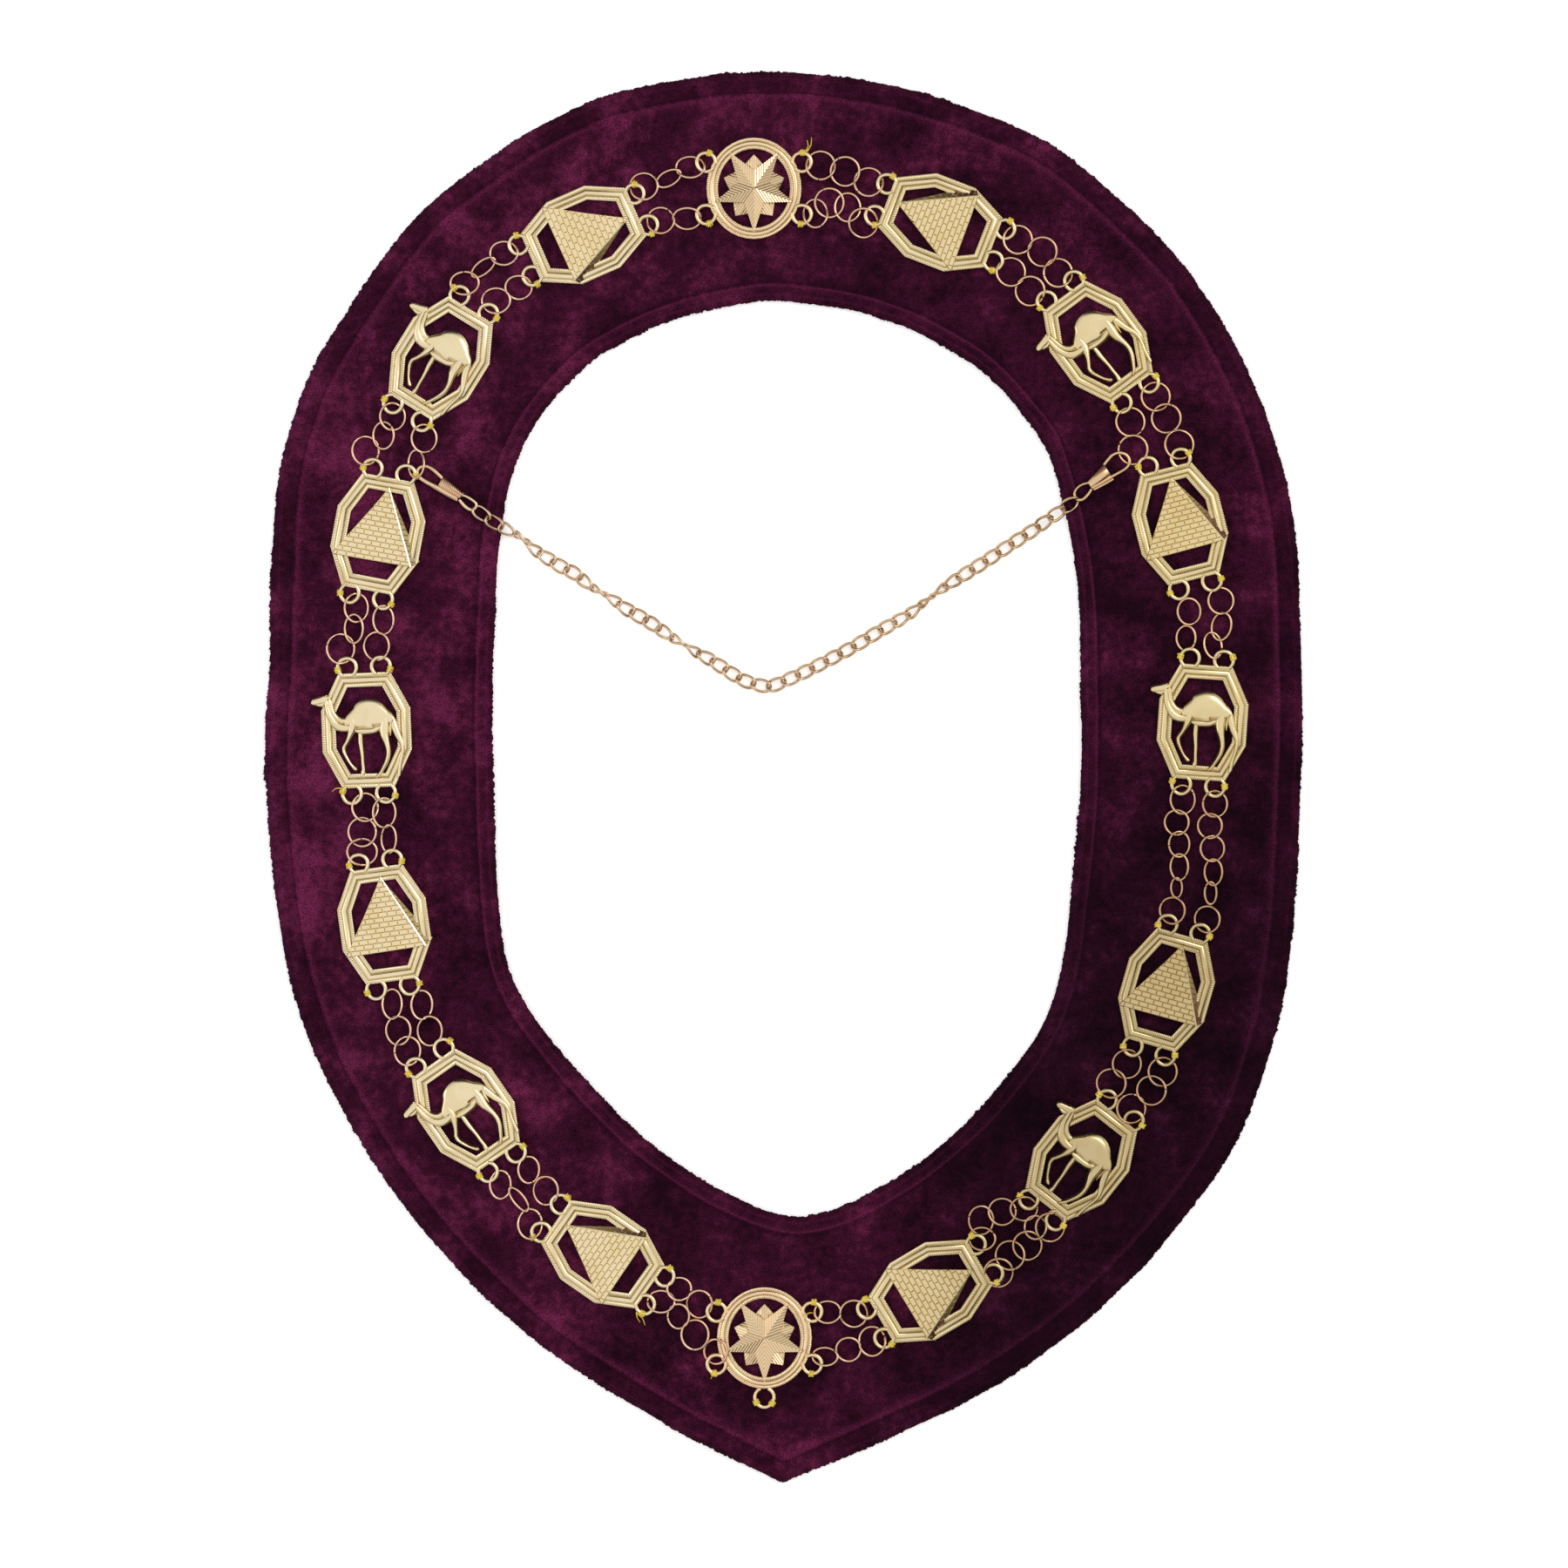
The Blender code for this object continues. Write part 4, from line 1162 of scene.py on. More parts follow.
CAMEL_LIMBS = (
    limb_row("far foreleg", 1.7, 2.9, 2.2,
        (-7.9, 0.1, 2.2), (-7.0, -7.8, 2.9), (-6.7, -14.3, 2.9), (-5.5, -22.9, 2.4),
        (-4.6, -30.1, 2.2), (-4.2, -37.3, 2.2), (-3.5, -44.5, 2.4), (-3.9, -49.2, 2.9),
        (-4.5, -51.4, 1.3),
    ),
    limb_row("far hind leg", 2.5, 3.6, 2.2,
        (26.3, 16.9, 2.5), (29.1, 12.2, 4.1), (32.0, 4.5, 4.3), (35.3, -3.9, 3.8),
        (38.7, -10.8, 3.2), (41.6, -17.7, 2.5), (41.7, -25.0, 2.2), (40.2, -32.4, 2.2),
        (38.7, -39.8, 2.2), (37.9, -47.2, 2.2), (37.3, -51.6, 2.2), (36.5, -54.0, 0.8),
    ),
    limb_row("tail", 2.8, 4.0, 2.0,
        (30.2, 13.0, 1.3), (28.6, 9.3, 1.4), (27.7, 4.0, 1.4), (27.6, -1.8, 1.3), (27.7, -6.5, 0.6),
    ),
    limb_row("lower belly", 1.4, 3.4, 2.0,
        (-13.6, -0.6, 1.6), (-10.4, -0.8, 3.8), (-4.6, -1.0, 4.8), (2.7, -0.8, 4.4),
        (8.4, 0.1, 4.4), (13.2, 2.4, 4.4), (17.5, 4.6, 1.9),
    ),
    limb_row("body", 1.9, 4.0, 2.7,
        (-24.0, 6.4, 1.4), (-22.7, 8.0, 4.6), (-20.0, 10.2, 6.9), (-15.5, 12.0, 9.8),
        (-10.6, 13.7, 12.7), (-5.0, 16.1, 16.2), (0.6, 17.9, 17.6), (5.6, 19.0, 17.2),
        (10.7, 18.4, 15.0), (16.0, 16.7, 12.4), (21.3, 14.9, 9.8), (25.8, 14.0, 7.5),
        (29.5, 13.2, 4.9), (31.7, 12.6, 2.0),
    ),
    limb_row("throat", 2.6, 3.9, 2.0,
        (-46.0, 34.8, 2.2), (-45.3, 30.1, 3.2), (-44.7, 25.8, 3.4), (-43.6, 20.6, 3.6),
        (-41.2, 14.6, 4.0), (-37.6, 8.9, 4.5), (-33.1, 5.0, 5.1), (-27.4, 3.0, 5.1),
        (-20.7, 3.0, 4.3), (-15.6, 4.5, 1.8),
    ),
    limb_row("nape", 2.6, 3.7, 2.0,
        (-42.7, 36.1, 1.6), (-41.3, 31.3, 2.6), (-40.1, 26.3, 2.8), (-38.5, 20.7, 2.8),
        (-35.8, 16.0, 3.0), (-31.9, 12.4, 3.2), (-27.1, 10.7, 3.4), (-21.1, 11.4, 2.8),
    ),
    limb_row("jaw", 2.6, 3.6, 2.2,
        (-48.0, 31.7, 1.7), (-50.1, 29.4, 2.5), (-52.9, 28.7, 2.2), (-56.1, 29.0, 1.8),
        (-58.3, 29.4, 1.0),
    ),
    limb_row("head", 2.7, 4.0, 2.6,
        (-43.6, 36.8, 1.6), (-45.4, 36.2, 4.0), (-48.1, 35.2, 4.6), (-51.3, 34.2, 4.3),
        (-54.9, 33.4, 4.0), (-58.4, 32.3, 4.0), (-60.8, 31.4, 3.7), (-62.3, 30.7, 2.4),
        (-63.0, 30.3, 1.0),
    ),
    limb_row("ear", 2.9, 4.05, 2.0,
        (-46.6, 37.7, 1.7), (-45.6, 39.1, 1.7), (-44.7, 40.0, 1.1),
    ),
    limb_row("near foreleg", 1.9, 4.05, 2.2,
        (-15.4, 13.1, 1.9), (-15.6, 7.2, 4.9), (-16.7, 0.6, 4.9), (-19.5, -7.7, 3.1),
        (-22.7, -14.6, 2.6), (-25.6, -20.0, 2.6), (-25.1, -25.4, 2.4), (-22.3, -31.3, 2.1),
        (-18.7, -37.4, 1.9), (-15.3, -41.7, 2.1), (-12.4, -44.3, 2.6), (-10.3, -44.9, 1.0),
    ),
    limb_row("near hind leg", 2.0, 4.05, 2.3,
        (21.4, 14.2, 2.5), (21.1, 8.4, 5.1), (20.6, 1.8, 6.2), (20.9, -5.5, 5.4),
        (22.9, -12.5, 4.0), (24.8, -19.6, 3.2), (25.3, -26.8, 2.9), (23.8, -34.2, 2.7),
        (20.3, -41.9, 2.4), (16.9, -48.0, 2.2), (13.8, -51.9, 2.1), (11.1, -53.6, 1.0),
    ),
)


@dataclass(frozen=True)
class StarRelief:
    """Star of five long rays and five short ones, all grooved along each bay between rays."""

    half_width: float = 21.3 * MM
    half_height: float = 22.8 * MM
    long_reach: float = 0.872
    valley_reach: float = 0.345
    short_reach: float = 0.660
    shoulder_reach: float = 0.505
    shoulder_angle: float = 21.5
    groove: float = 1.10 * MM
    depth: float = 0.20 * MM
    centre_height: float = 3.5 * MM
    tip_height: float = 2.9 * MM
    valley_height: float = 2.75 * MM
    short_height: float = 1.9 * MM
    flare: float = 0.24 * MM
    wall_foot: float = 1.6 * MM
    short_start: float = 0.7
    # Painted shade in the grooves, and a painted shadow on the walls.
    groove_mark: float = 0.85
    wall_mark: float = 1.3

    def spot(self, angle: float, reach: float, height: float) -> Vector:
        """Point of the star at an angle, a share of its radius and a height."""
        radius = self.half_height
        return Vector((math.cos(angle) * reach * radius, math.sin(angle) * reach * radius, height))

    def add_grooved(self, bm: Shape, corners: Sequence[Vector], middle: float) -> None:
        """Adds one flat facet cut into grooves that run along the bay's middle.

        Args:
            bm: Shape of the star.
            corners: Corners of the facet.
            middle: Angle of the bay's middle.
        """
        layer = bm.verts.layers.float[PAINTED_SHADING]
        across = Vector((-math.sin(middle), math.cos(middle), 0.0))
        face = bm.faces.new([bm.verts.new(corner) for corner in corners])
        geometry = [face, *face.edges, *face.verts]
        step = self.groove / 2
        reaches = [corner.dot(across) for corner in corners]
        for line in range(math.ceil(min(reaches) / step), math.floor(max(reaches) / step) + 1):
            at = across * line * step
            cut = bmesh.ops.bisect_plane(bm, geom=geometry, dist=CUT_SLACK, plane_co=at, plane_no=across)
            geometry = cut["geom"]
        border = open_edges(geometry)
        heart = sum(corners, Vector()) / len(corners)
        # The grooves sink, with painted shade in their valleys.
        for item in geometry:
            if isinstance(item, Corner):
                wave = abs(((item.co.dot(across) / self.groove) % 1.0) * 2 - 1)
                item.co.z -= self.depth * wave
                item[layer] = self.groove_mark * wave
        # The walls step out and down, with a painted shadow.
        for foot, flare in ((self.wall_foot, self.flare), (RELIEF_FLOOR, 0.0)):
            sides = bmesh.ops.extrude_edge_only(bm, edges=border)
            for item in sides["geom"]:
                if isinstance(item, Corner):
                    away = (item.co - heart).xy.normalized() * flare
                    item.co = Vector((item.co.x + away.x, item.co.y + away.y, foot))
                    item[layer] = self.wall_mark
            border = open_edges(sides["geom"])

    def add_to(self, bm: Shape) -> None:
        """Adds the whole star."""
        squeeze = Matrix.Diagonal((self.half_width / self.half_height, 1.0, 1.0, 1.0))
        held = set(bm.verts)
        centre = Vector((0.0, 0.0, self.centre_height))
        lean = math.radians(self.shoulder_angle)
        short_ray = (
            (0.0, self.valley_reach * self.short_start),
            (-lean, self.shoulder_reach),
            (0.0, self.short_reach),
            (lean, self.shoulder_reach),
        )
        for bay in range(5):
            start = -math.pi / 2 + bay * 2 * math.pi / 5
            middle = start + math.pi / 5
            valley = self.spot(middle, self.valley_reach, self.valley_height)
            for side in (-1, 1):
                tip = self.spot(middle + side * math.pi / 5, self.long_reach, self.tip_height)
                self.add_grooved(bm, (centre, tip, valley), middle)
            rhombus = [self.spot(middle + aside, reach, self.short_height) for aside, reach in short_ray]
            self.add_grooved(bm, rhombus, middle)
        verts = [vert for vert in bm.verts if vert not in held]
        bmesh.ops.transform(bm, matrix=squeeze, verts=verts)


@dataclass(frozen=True)
class Medallion:
    """One cast medallion and its place on the collar."""

    name: str
    kind: PlateKind
    share_x: float
    share_y: float
    turn: float
    gleams: bool = False

    @property
    def placing(self) -> Matrix:
        """Matrix from the medallion's own frame to the collar's."""
        spot = Vector((self.share_x * COLLAR_HALF_WIDTH, self.share_y * COLLAR_HALF_LENGTH, CASTING_SEAT))
        return Matrix.Translation(spot) @ turned(self.turn)

    @property
    def loop_spots(self) -> list[Vector]:
        """Middles of its four side loops, in its own frame."""
        spread, reach = (21.4 * MM, 11.7 * MM) if self.kind.is_round else (7.6 * MM, 28.3 * MM)
        lift = WIRE_LEVEL - CASTING_SEAT
        return [Vector((x * spread, y * reach, lift)) for y in (1, -1) for x in (-1, 1)]

    def add_loops(self, bm: Shape) -> None:
        """Adds the cast loops."""
        sweep = ROUND_SWEEP if self.kind.is_round else OCTAGON_SWEEP
        loops = []
        for spot in self.loop_spots:
            upright = math.copysign(math.pi / 2, spot.y)
            facing = math.atan2(spot.y, spot.x) if self.kind.is_round else upright
            loops.append((spot, LOOP_RADIUS, facing - sweep / 2))
        if self.kind is PlateKind.JEWEL_STAR:
            loops.append((JEWEL_LOOP_SPOT, JEWEL_LOOP_RADIUS, JEWEL_LOOP_START))
        for spot, radius, start in loops:
            verts = spun_ring(bm, radius, LOOP_WIRE, LOOP_STEPS, LOOP_SIDES, start, sweep)
            bmesh.ops.translate(bm, vec=spot, verts=verts)

    def template(self, finish: Material) -> Mesh:
        """Models the casting in its own frame.

        Args:
            finish: Material of the casting.

        Returns:
            The mesh that every medallion of this kind copies.
        """
        bm = new_shape()
        (ROUND_RIM if self.kind.is_round else OCTAGON_RIM).add_to(bm)
        if self.kind.is_round:
            StarRelief().add_to(bm)
        elif self.kind is PlateKind.PYRAMID:
            PyramidRelief().add_to(bm)
        else:
            for limb in CAMEL_LIMBS:
                limb.add_to(bm, CAMEL_LEAN)
        self.add_loops(bm)
        piece = finished_piece(self.kind.value, bm, finish, sharp=32.0)
        mesh = piece.data
        bpy.data.objects.remove(piece)
        return mesh

    def build(self, template: Mesh) -> Piece:
        """Places a copy of the casting on the collar.

        Args:
            template: Mesh of this kind of casting.

        Returns:
            The seated piece.
        """
        mesh = template.copy()
        mesh.transform(self.placing)
        for mark in mesh.attributes[PAINTED_SHADING].data:
            mark.value = min(mark.value, 1.0) if self.gleams else max(mark.value, 0.0)
        piece = show(bpy.data.objects.new(self.name + "_casting", mesh))
        return seat(piece, [self.name])


MEDALLIONS = (
    Medallion("star_roundel_top", PlateKind.STAR, -0.0579, 0.8359, 0.0),
    Medallion("pyramid_plate_1", PlateKind.PYRAMID, 0.3013, 0.7876, -69.0),
    Medallion("camel_plate_1", PlateKind.CAMEL, 0.6057, 0.6180, -36.4),
    Medallion("pyramid_plate_2", PlateKind.PYRAMID, 0.7640, 0.3598, -14.2),
    Medallion("camel_plate_2", PlateKind.CAMEL, 0.8077, 0.0780, 4.0),
    Medallion("pyramid_plate_3", PlateKind.PYRAMID, 0.7382, -0.3015, 16.0),
    Medallion("camel_plate_3", PlateKind.CAMEL, 0.5737, -0.5427, 38.2),
    Medallion("pyramid_plate_4", PlateKind.PYRAMID, 0.2820, -0.7289, 59.5),
    Medallion("star_roundel_bottom", PlateKind.JEWEL_STAR, -0.0377, -0.7952, 0.0),
    Medallion("pyramid_plate_5", PlateKind.PYRAMID, -0.3495, -0.6765, -55.2),
    Medallion("camel_plate_4", PlateKind.CAMEL, -0.6138, -0.4721, -34.7),
    Medallion("pyramid_plate_6", PlateKind.PYRAMID, -0.7714, -0.2085, -8.0, True),
    Medallion("camel_plate_5", PlateKind.CAMEL, -0.8056, 0.0671, -2.3),
    Medallion("pyramid_plate_7", PlateKind.PYRAMID, -0.7836, 0.3455, 10.5, True),
    Medallion("camel_plate_6", PlateKind.CAMEL, -0.6625, 0.5945, 31.7),
    Medallion("pyramid_plate_8", PlateKind.PYRAMID, -0.3870, 0.7699, 66.3),
)


def all_loops() -> list[Vector]:
    """Middles of all the side loops, in the collar's frame."""
    return [medallion.placing @ spot for medallion in MEDALLIONS for spot in medallion.loop_spots]


class RingSpot(NamedTuple):
    """Middle of a wire ring in the photograph, its seen size and its slant, in pixels and degrees."""

    x: float
    y: float
    wide: float = 36.0
    high: float = 36.0
    slant: float = 0.0


class Strand(NamedTuple):
    """Rings of one strand, from one medallion to the next."""

    node: str
    rings: tuple[RingSpot, ...]


def strand_row(name: str, *rings: Sequence[float]) -> Strand:
    """Names one row of the strands' table."""
    return Strand("ring_strand_" + name, named_rows(RingSpot, *rings))


STRANDS = (
    strand_row("01_outer", (942, 191), (970, 198), (997, 210)),
    strand_row("01_inner", (936, 246, 30), (952, 234), (973, 239, 32), (991, 257)),
    strand_row("02_outer", (1168, 276), (1196, 290), (1214, 314)),
    strand_row("02_inner", (1160, 313), (1182, 335)),
    strand_row("03_inner", (1297, 485), (1300, 517)),
    strand_row("03_outer", (1326, 456), (1338, 481), (1353, 511)),
    strand_row("04_inner", (1364.3, 702.3, 29, 33), (1360.7, 732.7, 23.5, 31)),
    strand_row("04_outer", (1400.7, 690, 32, 33), (1401.3, 719.3, 24, 35, 12), (1391.7, 741, 22, 33, -12)),
    strand_row("05_inner",
               (1357, 918, 31), (1350, 944, 30, 31), (1353, 969, 26, 32), (1353, 995, 22, 33),
               (1350, 1019, 14, 25), (1345, 1045, 31, 33)),
    strand_row("05_outer",
               (1394, 923, 31, 33), (1388, 948, 30, 31), (1391, 974, 30, 32), (1392, 1001, 22, 33),
               (1389, 1025, 15, 28), (1385, 1055, 31, 33)),
    strand_row("06_inner", (1293, 1221), (1275, 1243)),
    strand_row("06_outer", (1334, 1230), (1321, 1251), (1298, 1272)),
    strand_row("07_inner",
               (1175, 1387, 34, 30), (1150, 1390, 34, 33), (1126, 1400, 31, 36), (1127, 1421, 33, 28)),
    strand_row("07_outer", (1205, 1408), (1188, 1408, 27, 29), (1179, 1429), (1159, 1440), (1146, 1460)),
    strand_row("08_inner", (950, 1505, 33, 27), (980, 1507, 34, 34)),
    strand_row("08_outer", (947, 1556, 32, 22), (974, 1548, 31, 30), (1001, 1538.5, 33, 36)),
    strand_row("09_inner", (780, 1478.5, 30, 28), (803, 1496, 32, 35)),
    strand_row("09_outer",
               (759, 1493, 34, 27), (779, 1510, 27, 31), (798, 1531, 34, 37), (821.6, 1550.5, 29, 31)),
    strand_row("10_inner", (607.5, 1342, 26, 33), (627, 1366, 31, 36)),
    strand_row("10_outer", (575, 1359, 26, 35), (596, 1376, 14, 36, -38), (609, 1404, 30, 37)),
    strand_row("11_outer", (451, 1152, 24, 37), (458, 1182.5, 31, 36), (468.6, 1206, 32, 36)),
    strand_row("11_inner", (485, 1153, 26, 36), (494, 1183, 31, 37)),
    strand_row("12_outer", (420, 926.5, 32, 35), (416.6, 955, 35, 36), (416.6, 978, 37, 33)),
    strand_row("12_inner", (442, 933, 28, 37), (447, 963, 19, 35)),
    strand_row("13_outer", (410, 698, 29, 36), (407, 722, 23, 36), (392, 745, 34, 37)),
    strand_row("13_inner", (441, 712, 25, 36), (433, 742, 32, 35)),
    strand_row("14_outer", (451.5, 479, 31, 34), (441, 500.5, 26, 34), (420.6, 518, 33, 36)),
    strand_row("14_inner", (487.6, 504, 31, 35), (478.4, 533, 20, 35)),
    strand_row("15_outer", (534, 326, 36, 29), (555.5, 308, 16, 35, 52), (579, 291.6, 35, 30)),
    strand_row("15_inner", (570, 346, 36, 32), (596, 331, 33, 29)),
    strand_row("16_outer", (739.4, 215, 35, 34), (768, 206, 33, 18, -28), (792.6, 193, 36, 27)),
    strand_row("16_inner", (758.6, 254, 34, 33), (789, 252, 35, 26)),
)


@dataclass(frozen=True)
class RingStrands:
    """Wire rings linked to one another and to the castings' loops."""

    diameter: float = 14.0 * MM
    thickness: float = 1.2 * MM
    joint: float = 0.055
    full_px: float = 36.0
    steps: int = 36
    sides: int = 8
    link_lean: float = 0.15
    loop_lean: float = 0.50
    loop_reach: float = 10.6 * MM
    level: float = WIRE_LEVEL - 0.1 * MM
    most: float = 1.45 * MM

    def add_ring(self, bm: Shape, ring: RingSpot, along: Vector, lean: float) -> None:
        """Adds one ring, with its open joint, that passes over one neighbour and under the other.

        Args:
            bm: Shape of the strand.
            ring: The ring's spot and size.
            along: Direction of the strand there.
            lean: Rise of the ring across the strand, with its sign.
        """
        start = random.Random(f"{ring.x} {ring.y}").uniform(0.0, 2 * math.pi)
        radius = (self.diameter - self.thickness) / 2
        sweep = 2 * math.pi - self.joint
        verts = spun_ring(bm, radius, self.thickness, self.steps, self.sides, start, sweep)
        squeeze = Matrix.Diagonal((ring.wide / self.full_px - 1.0, ring.high / self.full_px - 1.0, 0.0))
        for vert in verts:
            vert.co += squeeze @ (flattened(vert.co).normalized() * radius)
        middle = photo_point(ring.x, ring.y)
        bmesh.ops.transform(bm, matrix=Matrix.Translation(middle) @ turned(ring.slant), verts=verts)
        aside = left_of(along)
        for vert in verts:
            reach = (vert.co - middle).dot(aside)
            vert.co.z += self.level + self.most * math.tanh(lean * reach / self.most)

    def build(self, strand: Strand, loops: Sequence[Vector], finish: Material) -> Piece:
        """Builds one strand.

        Args:
            strand: Its rings.
            loops: Middles of all the castings' loops.
            finish: Material of the wire.

        Returns:
            The seated strand.
        """
        bm = new_shape()
        spots = [photo_point(ring.x, ring.y) for ring in strand.rings]
        last = len(spots) - 1
        for index, ring in enumerate(strand.rings):
            here = spots[index]
            loop = min(loops, key=lambda spot: (spot.xy - here.xy).length)
            before = spots[index - 1] if index else here
            after = spots[index + 1] if index < last else here
            along = after - before
            near_loop = (loop.xy - here.xy).length < self.loop_reach
            if near_loop:
                toward = Vector((loop.x - here.x, loop.y - here.y, 0.0)).normalized()
                along = toward if toward.dot(along) > 0 else -toward
            lean = self.loop_lean if near_loop else self.link_lean
            self.add_ring(bm, ring, along.normalized(), lean if index % 2 else -lean)
        piece = finished_piece(strand.node + "_rings", bm, finish)
        return seat(piece, [strand.node])


class ChainRow(NamedTuple):
    """Point of the chain's route in photo pixels, its height in millimetres and its roll in degrees."""

    x: float
    y: float
    height: float
    roll: float


@dataclass(frozen=True)
class CurbChain:
    """Twisted curb links from hook to hook, which roll over as the chain falls."""

    half_length: float = 4.28 * MM
    half_width: float = 2.6 * MM
    thickness: float = 1.38 * MM
    roundness: float = 2.8
    twist: float = math.radians(40)
    pitch: float = 7.05 * MM
    steps: int = 30
    sides: int = 7
    span_steps: int = 8
    route: tuple[ChainRow, ...] = named_rows(
        ChainRow,
        (546.0, 585.0, 4.85, 8), (554.0, 590.4, 4.85, 8), (567.4, 600.0, 4.6, 12),
        (585.6, 610.5, 3.7, 45), (600.3, 618.9, 3.0, 90), (612.3, 630.2, 2.6, 130),
        (629.1, 641.4, 2.0, 162), (645.2, 651.2, 1.8, 180), (661.4, 659.6, 1.9, 198),
        (676.8, 672.3, 2.5, 230), (690.8, 680.5, 3.0, 270), (703.5, 688.4, 2.6, 308),
        (719.6, 699.6, 2.0, 340), (737.1, 709.4, 1.8, 360), (752.5, 718.8, 1.9, 376),
        (770.3, 731.0, 2.5, 405), (785.7, 740.0, 3.0, 450), (798.3, 748.3, 2.6, 490),
        (816.6, 758.2, 2.0, 520), (848.8, 778.6, 1.8, 540), (867.5, 785.4, 1.8, 535),
        (883.5, 787.8, 1.8, 545), (900.8, 781.8, 1.8, 540), (932.7, 767.1, 1.8, 545),
        (979.9, 742.4, 1.8, 540), (1010.5, 724.0, 1.8, 550), (1039.8, 707.4, 2.2, 575),
        (1054.4, 696.8, 2.7, 600), (1069.0, 685.5, 3.0, 632), (1085.8, 673.2, 2.6, 670),
        (1099.8, 664.1, 2.1, 700), (1127.9, 646.7, 1.8, 720), (1158.0, 626.8, 1.8, 725),
        (1188.3, 607.2, 2.2, 735), (1201.8, 597.2, 3.7, 742), (1215.9, 587.8, 4.6, 738),
        (1228.0, 579.4, 4.8, 732), (1235.0, 574.4, 4.8, 730),
    )

    def add_link(self, bm: Shape, middle: Vector, along: Vector, roll: float) -> None:
        """Adds one link.

        Args:
            bm: Shape of the chain.
            middle: Middle of the link.
            along: Direction of the chain there.
            roll: How far the link is rolled over, in degrees.
        """
        aside = left_of(along).normalized()
        up = along.cross(aside)
        power = 2 / self.roundness
        path = []
        for step in range(self.steps):
            angle = 2 * math.pi * step / self.steps
            reach = math.copysign(abs(math.cos(angle)) ** power, math.cos(angle))
            wide = self.half_width * math.copysign(abs(math.sin(angle)) ** power, math.sin(angle))
            lean = math.radians(roll) + self.twist * reach
            spot = middle + along * self.half_length * reach
            path.append(spot + (aside * math.cos(lean) + up * math.sin(lean)) * wide)
        wire(bm, path, self.thickness / 2, self.sides, closed=True)

    def build(self, finish: Material) -> Piece:
        """Builds the whole chain.

        Args:
            finish: Material of the links.

        Returns:
            The seated chain.
        """
        rows = [(*photo_point(row.x, row.y, row.height * MM), row.roll) for row in self.route]
        run = smooth_run([Vector(row) for row in rows], self.span_steps)
        lengths = [(after.xyz - before.xyz).length for before, after in zip(run, run[1:])]
        count = round(sum(lengths) / self.pitch)
        spacing = sum(lengths) / count
        bm = new_shape()
        travelled = 0.0
        due = spacing / 2
        for before, after, length in zip(run, run[1:], lengths):
            while travelled <= due < travelled + length:
                spot = before.lerp(after, (due - travelled) / length)
                self.add_link(bm, spot.xyz, (after.xyz - before.xyz).normalized(), spot.w)
                due += spacing
            travelled += length
        piece = finished_piece("curb_chain_links", bm, finish)
        return seat(piece, ["curb_chain"])


class HookRow(NamedTuple):
    """Point of a hook's wire along and beside the hook, and its half width, in millimetres."""

    along: float
    beside: float
    half: float


class SleeveStep(NamedTuple):
    """One ring of a sleeve: its share of the way to the neck, and its size."""

    share: float
    size: float


SLEEVE_OUTLINE = named_rows(
    SleeveStep,
    (0.0, 0.02), (0.0, 0.9), (0.03, 1.0), (0.5, 1.0), (0.97, 1.0), (1.0, 0.9), (1.0, 0.02),
)


class SleeveKind(Enum):
    """How a hook's sleeve is made."""

    WOUND = "wound wire"
    FOLDED = "folded sheet"


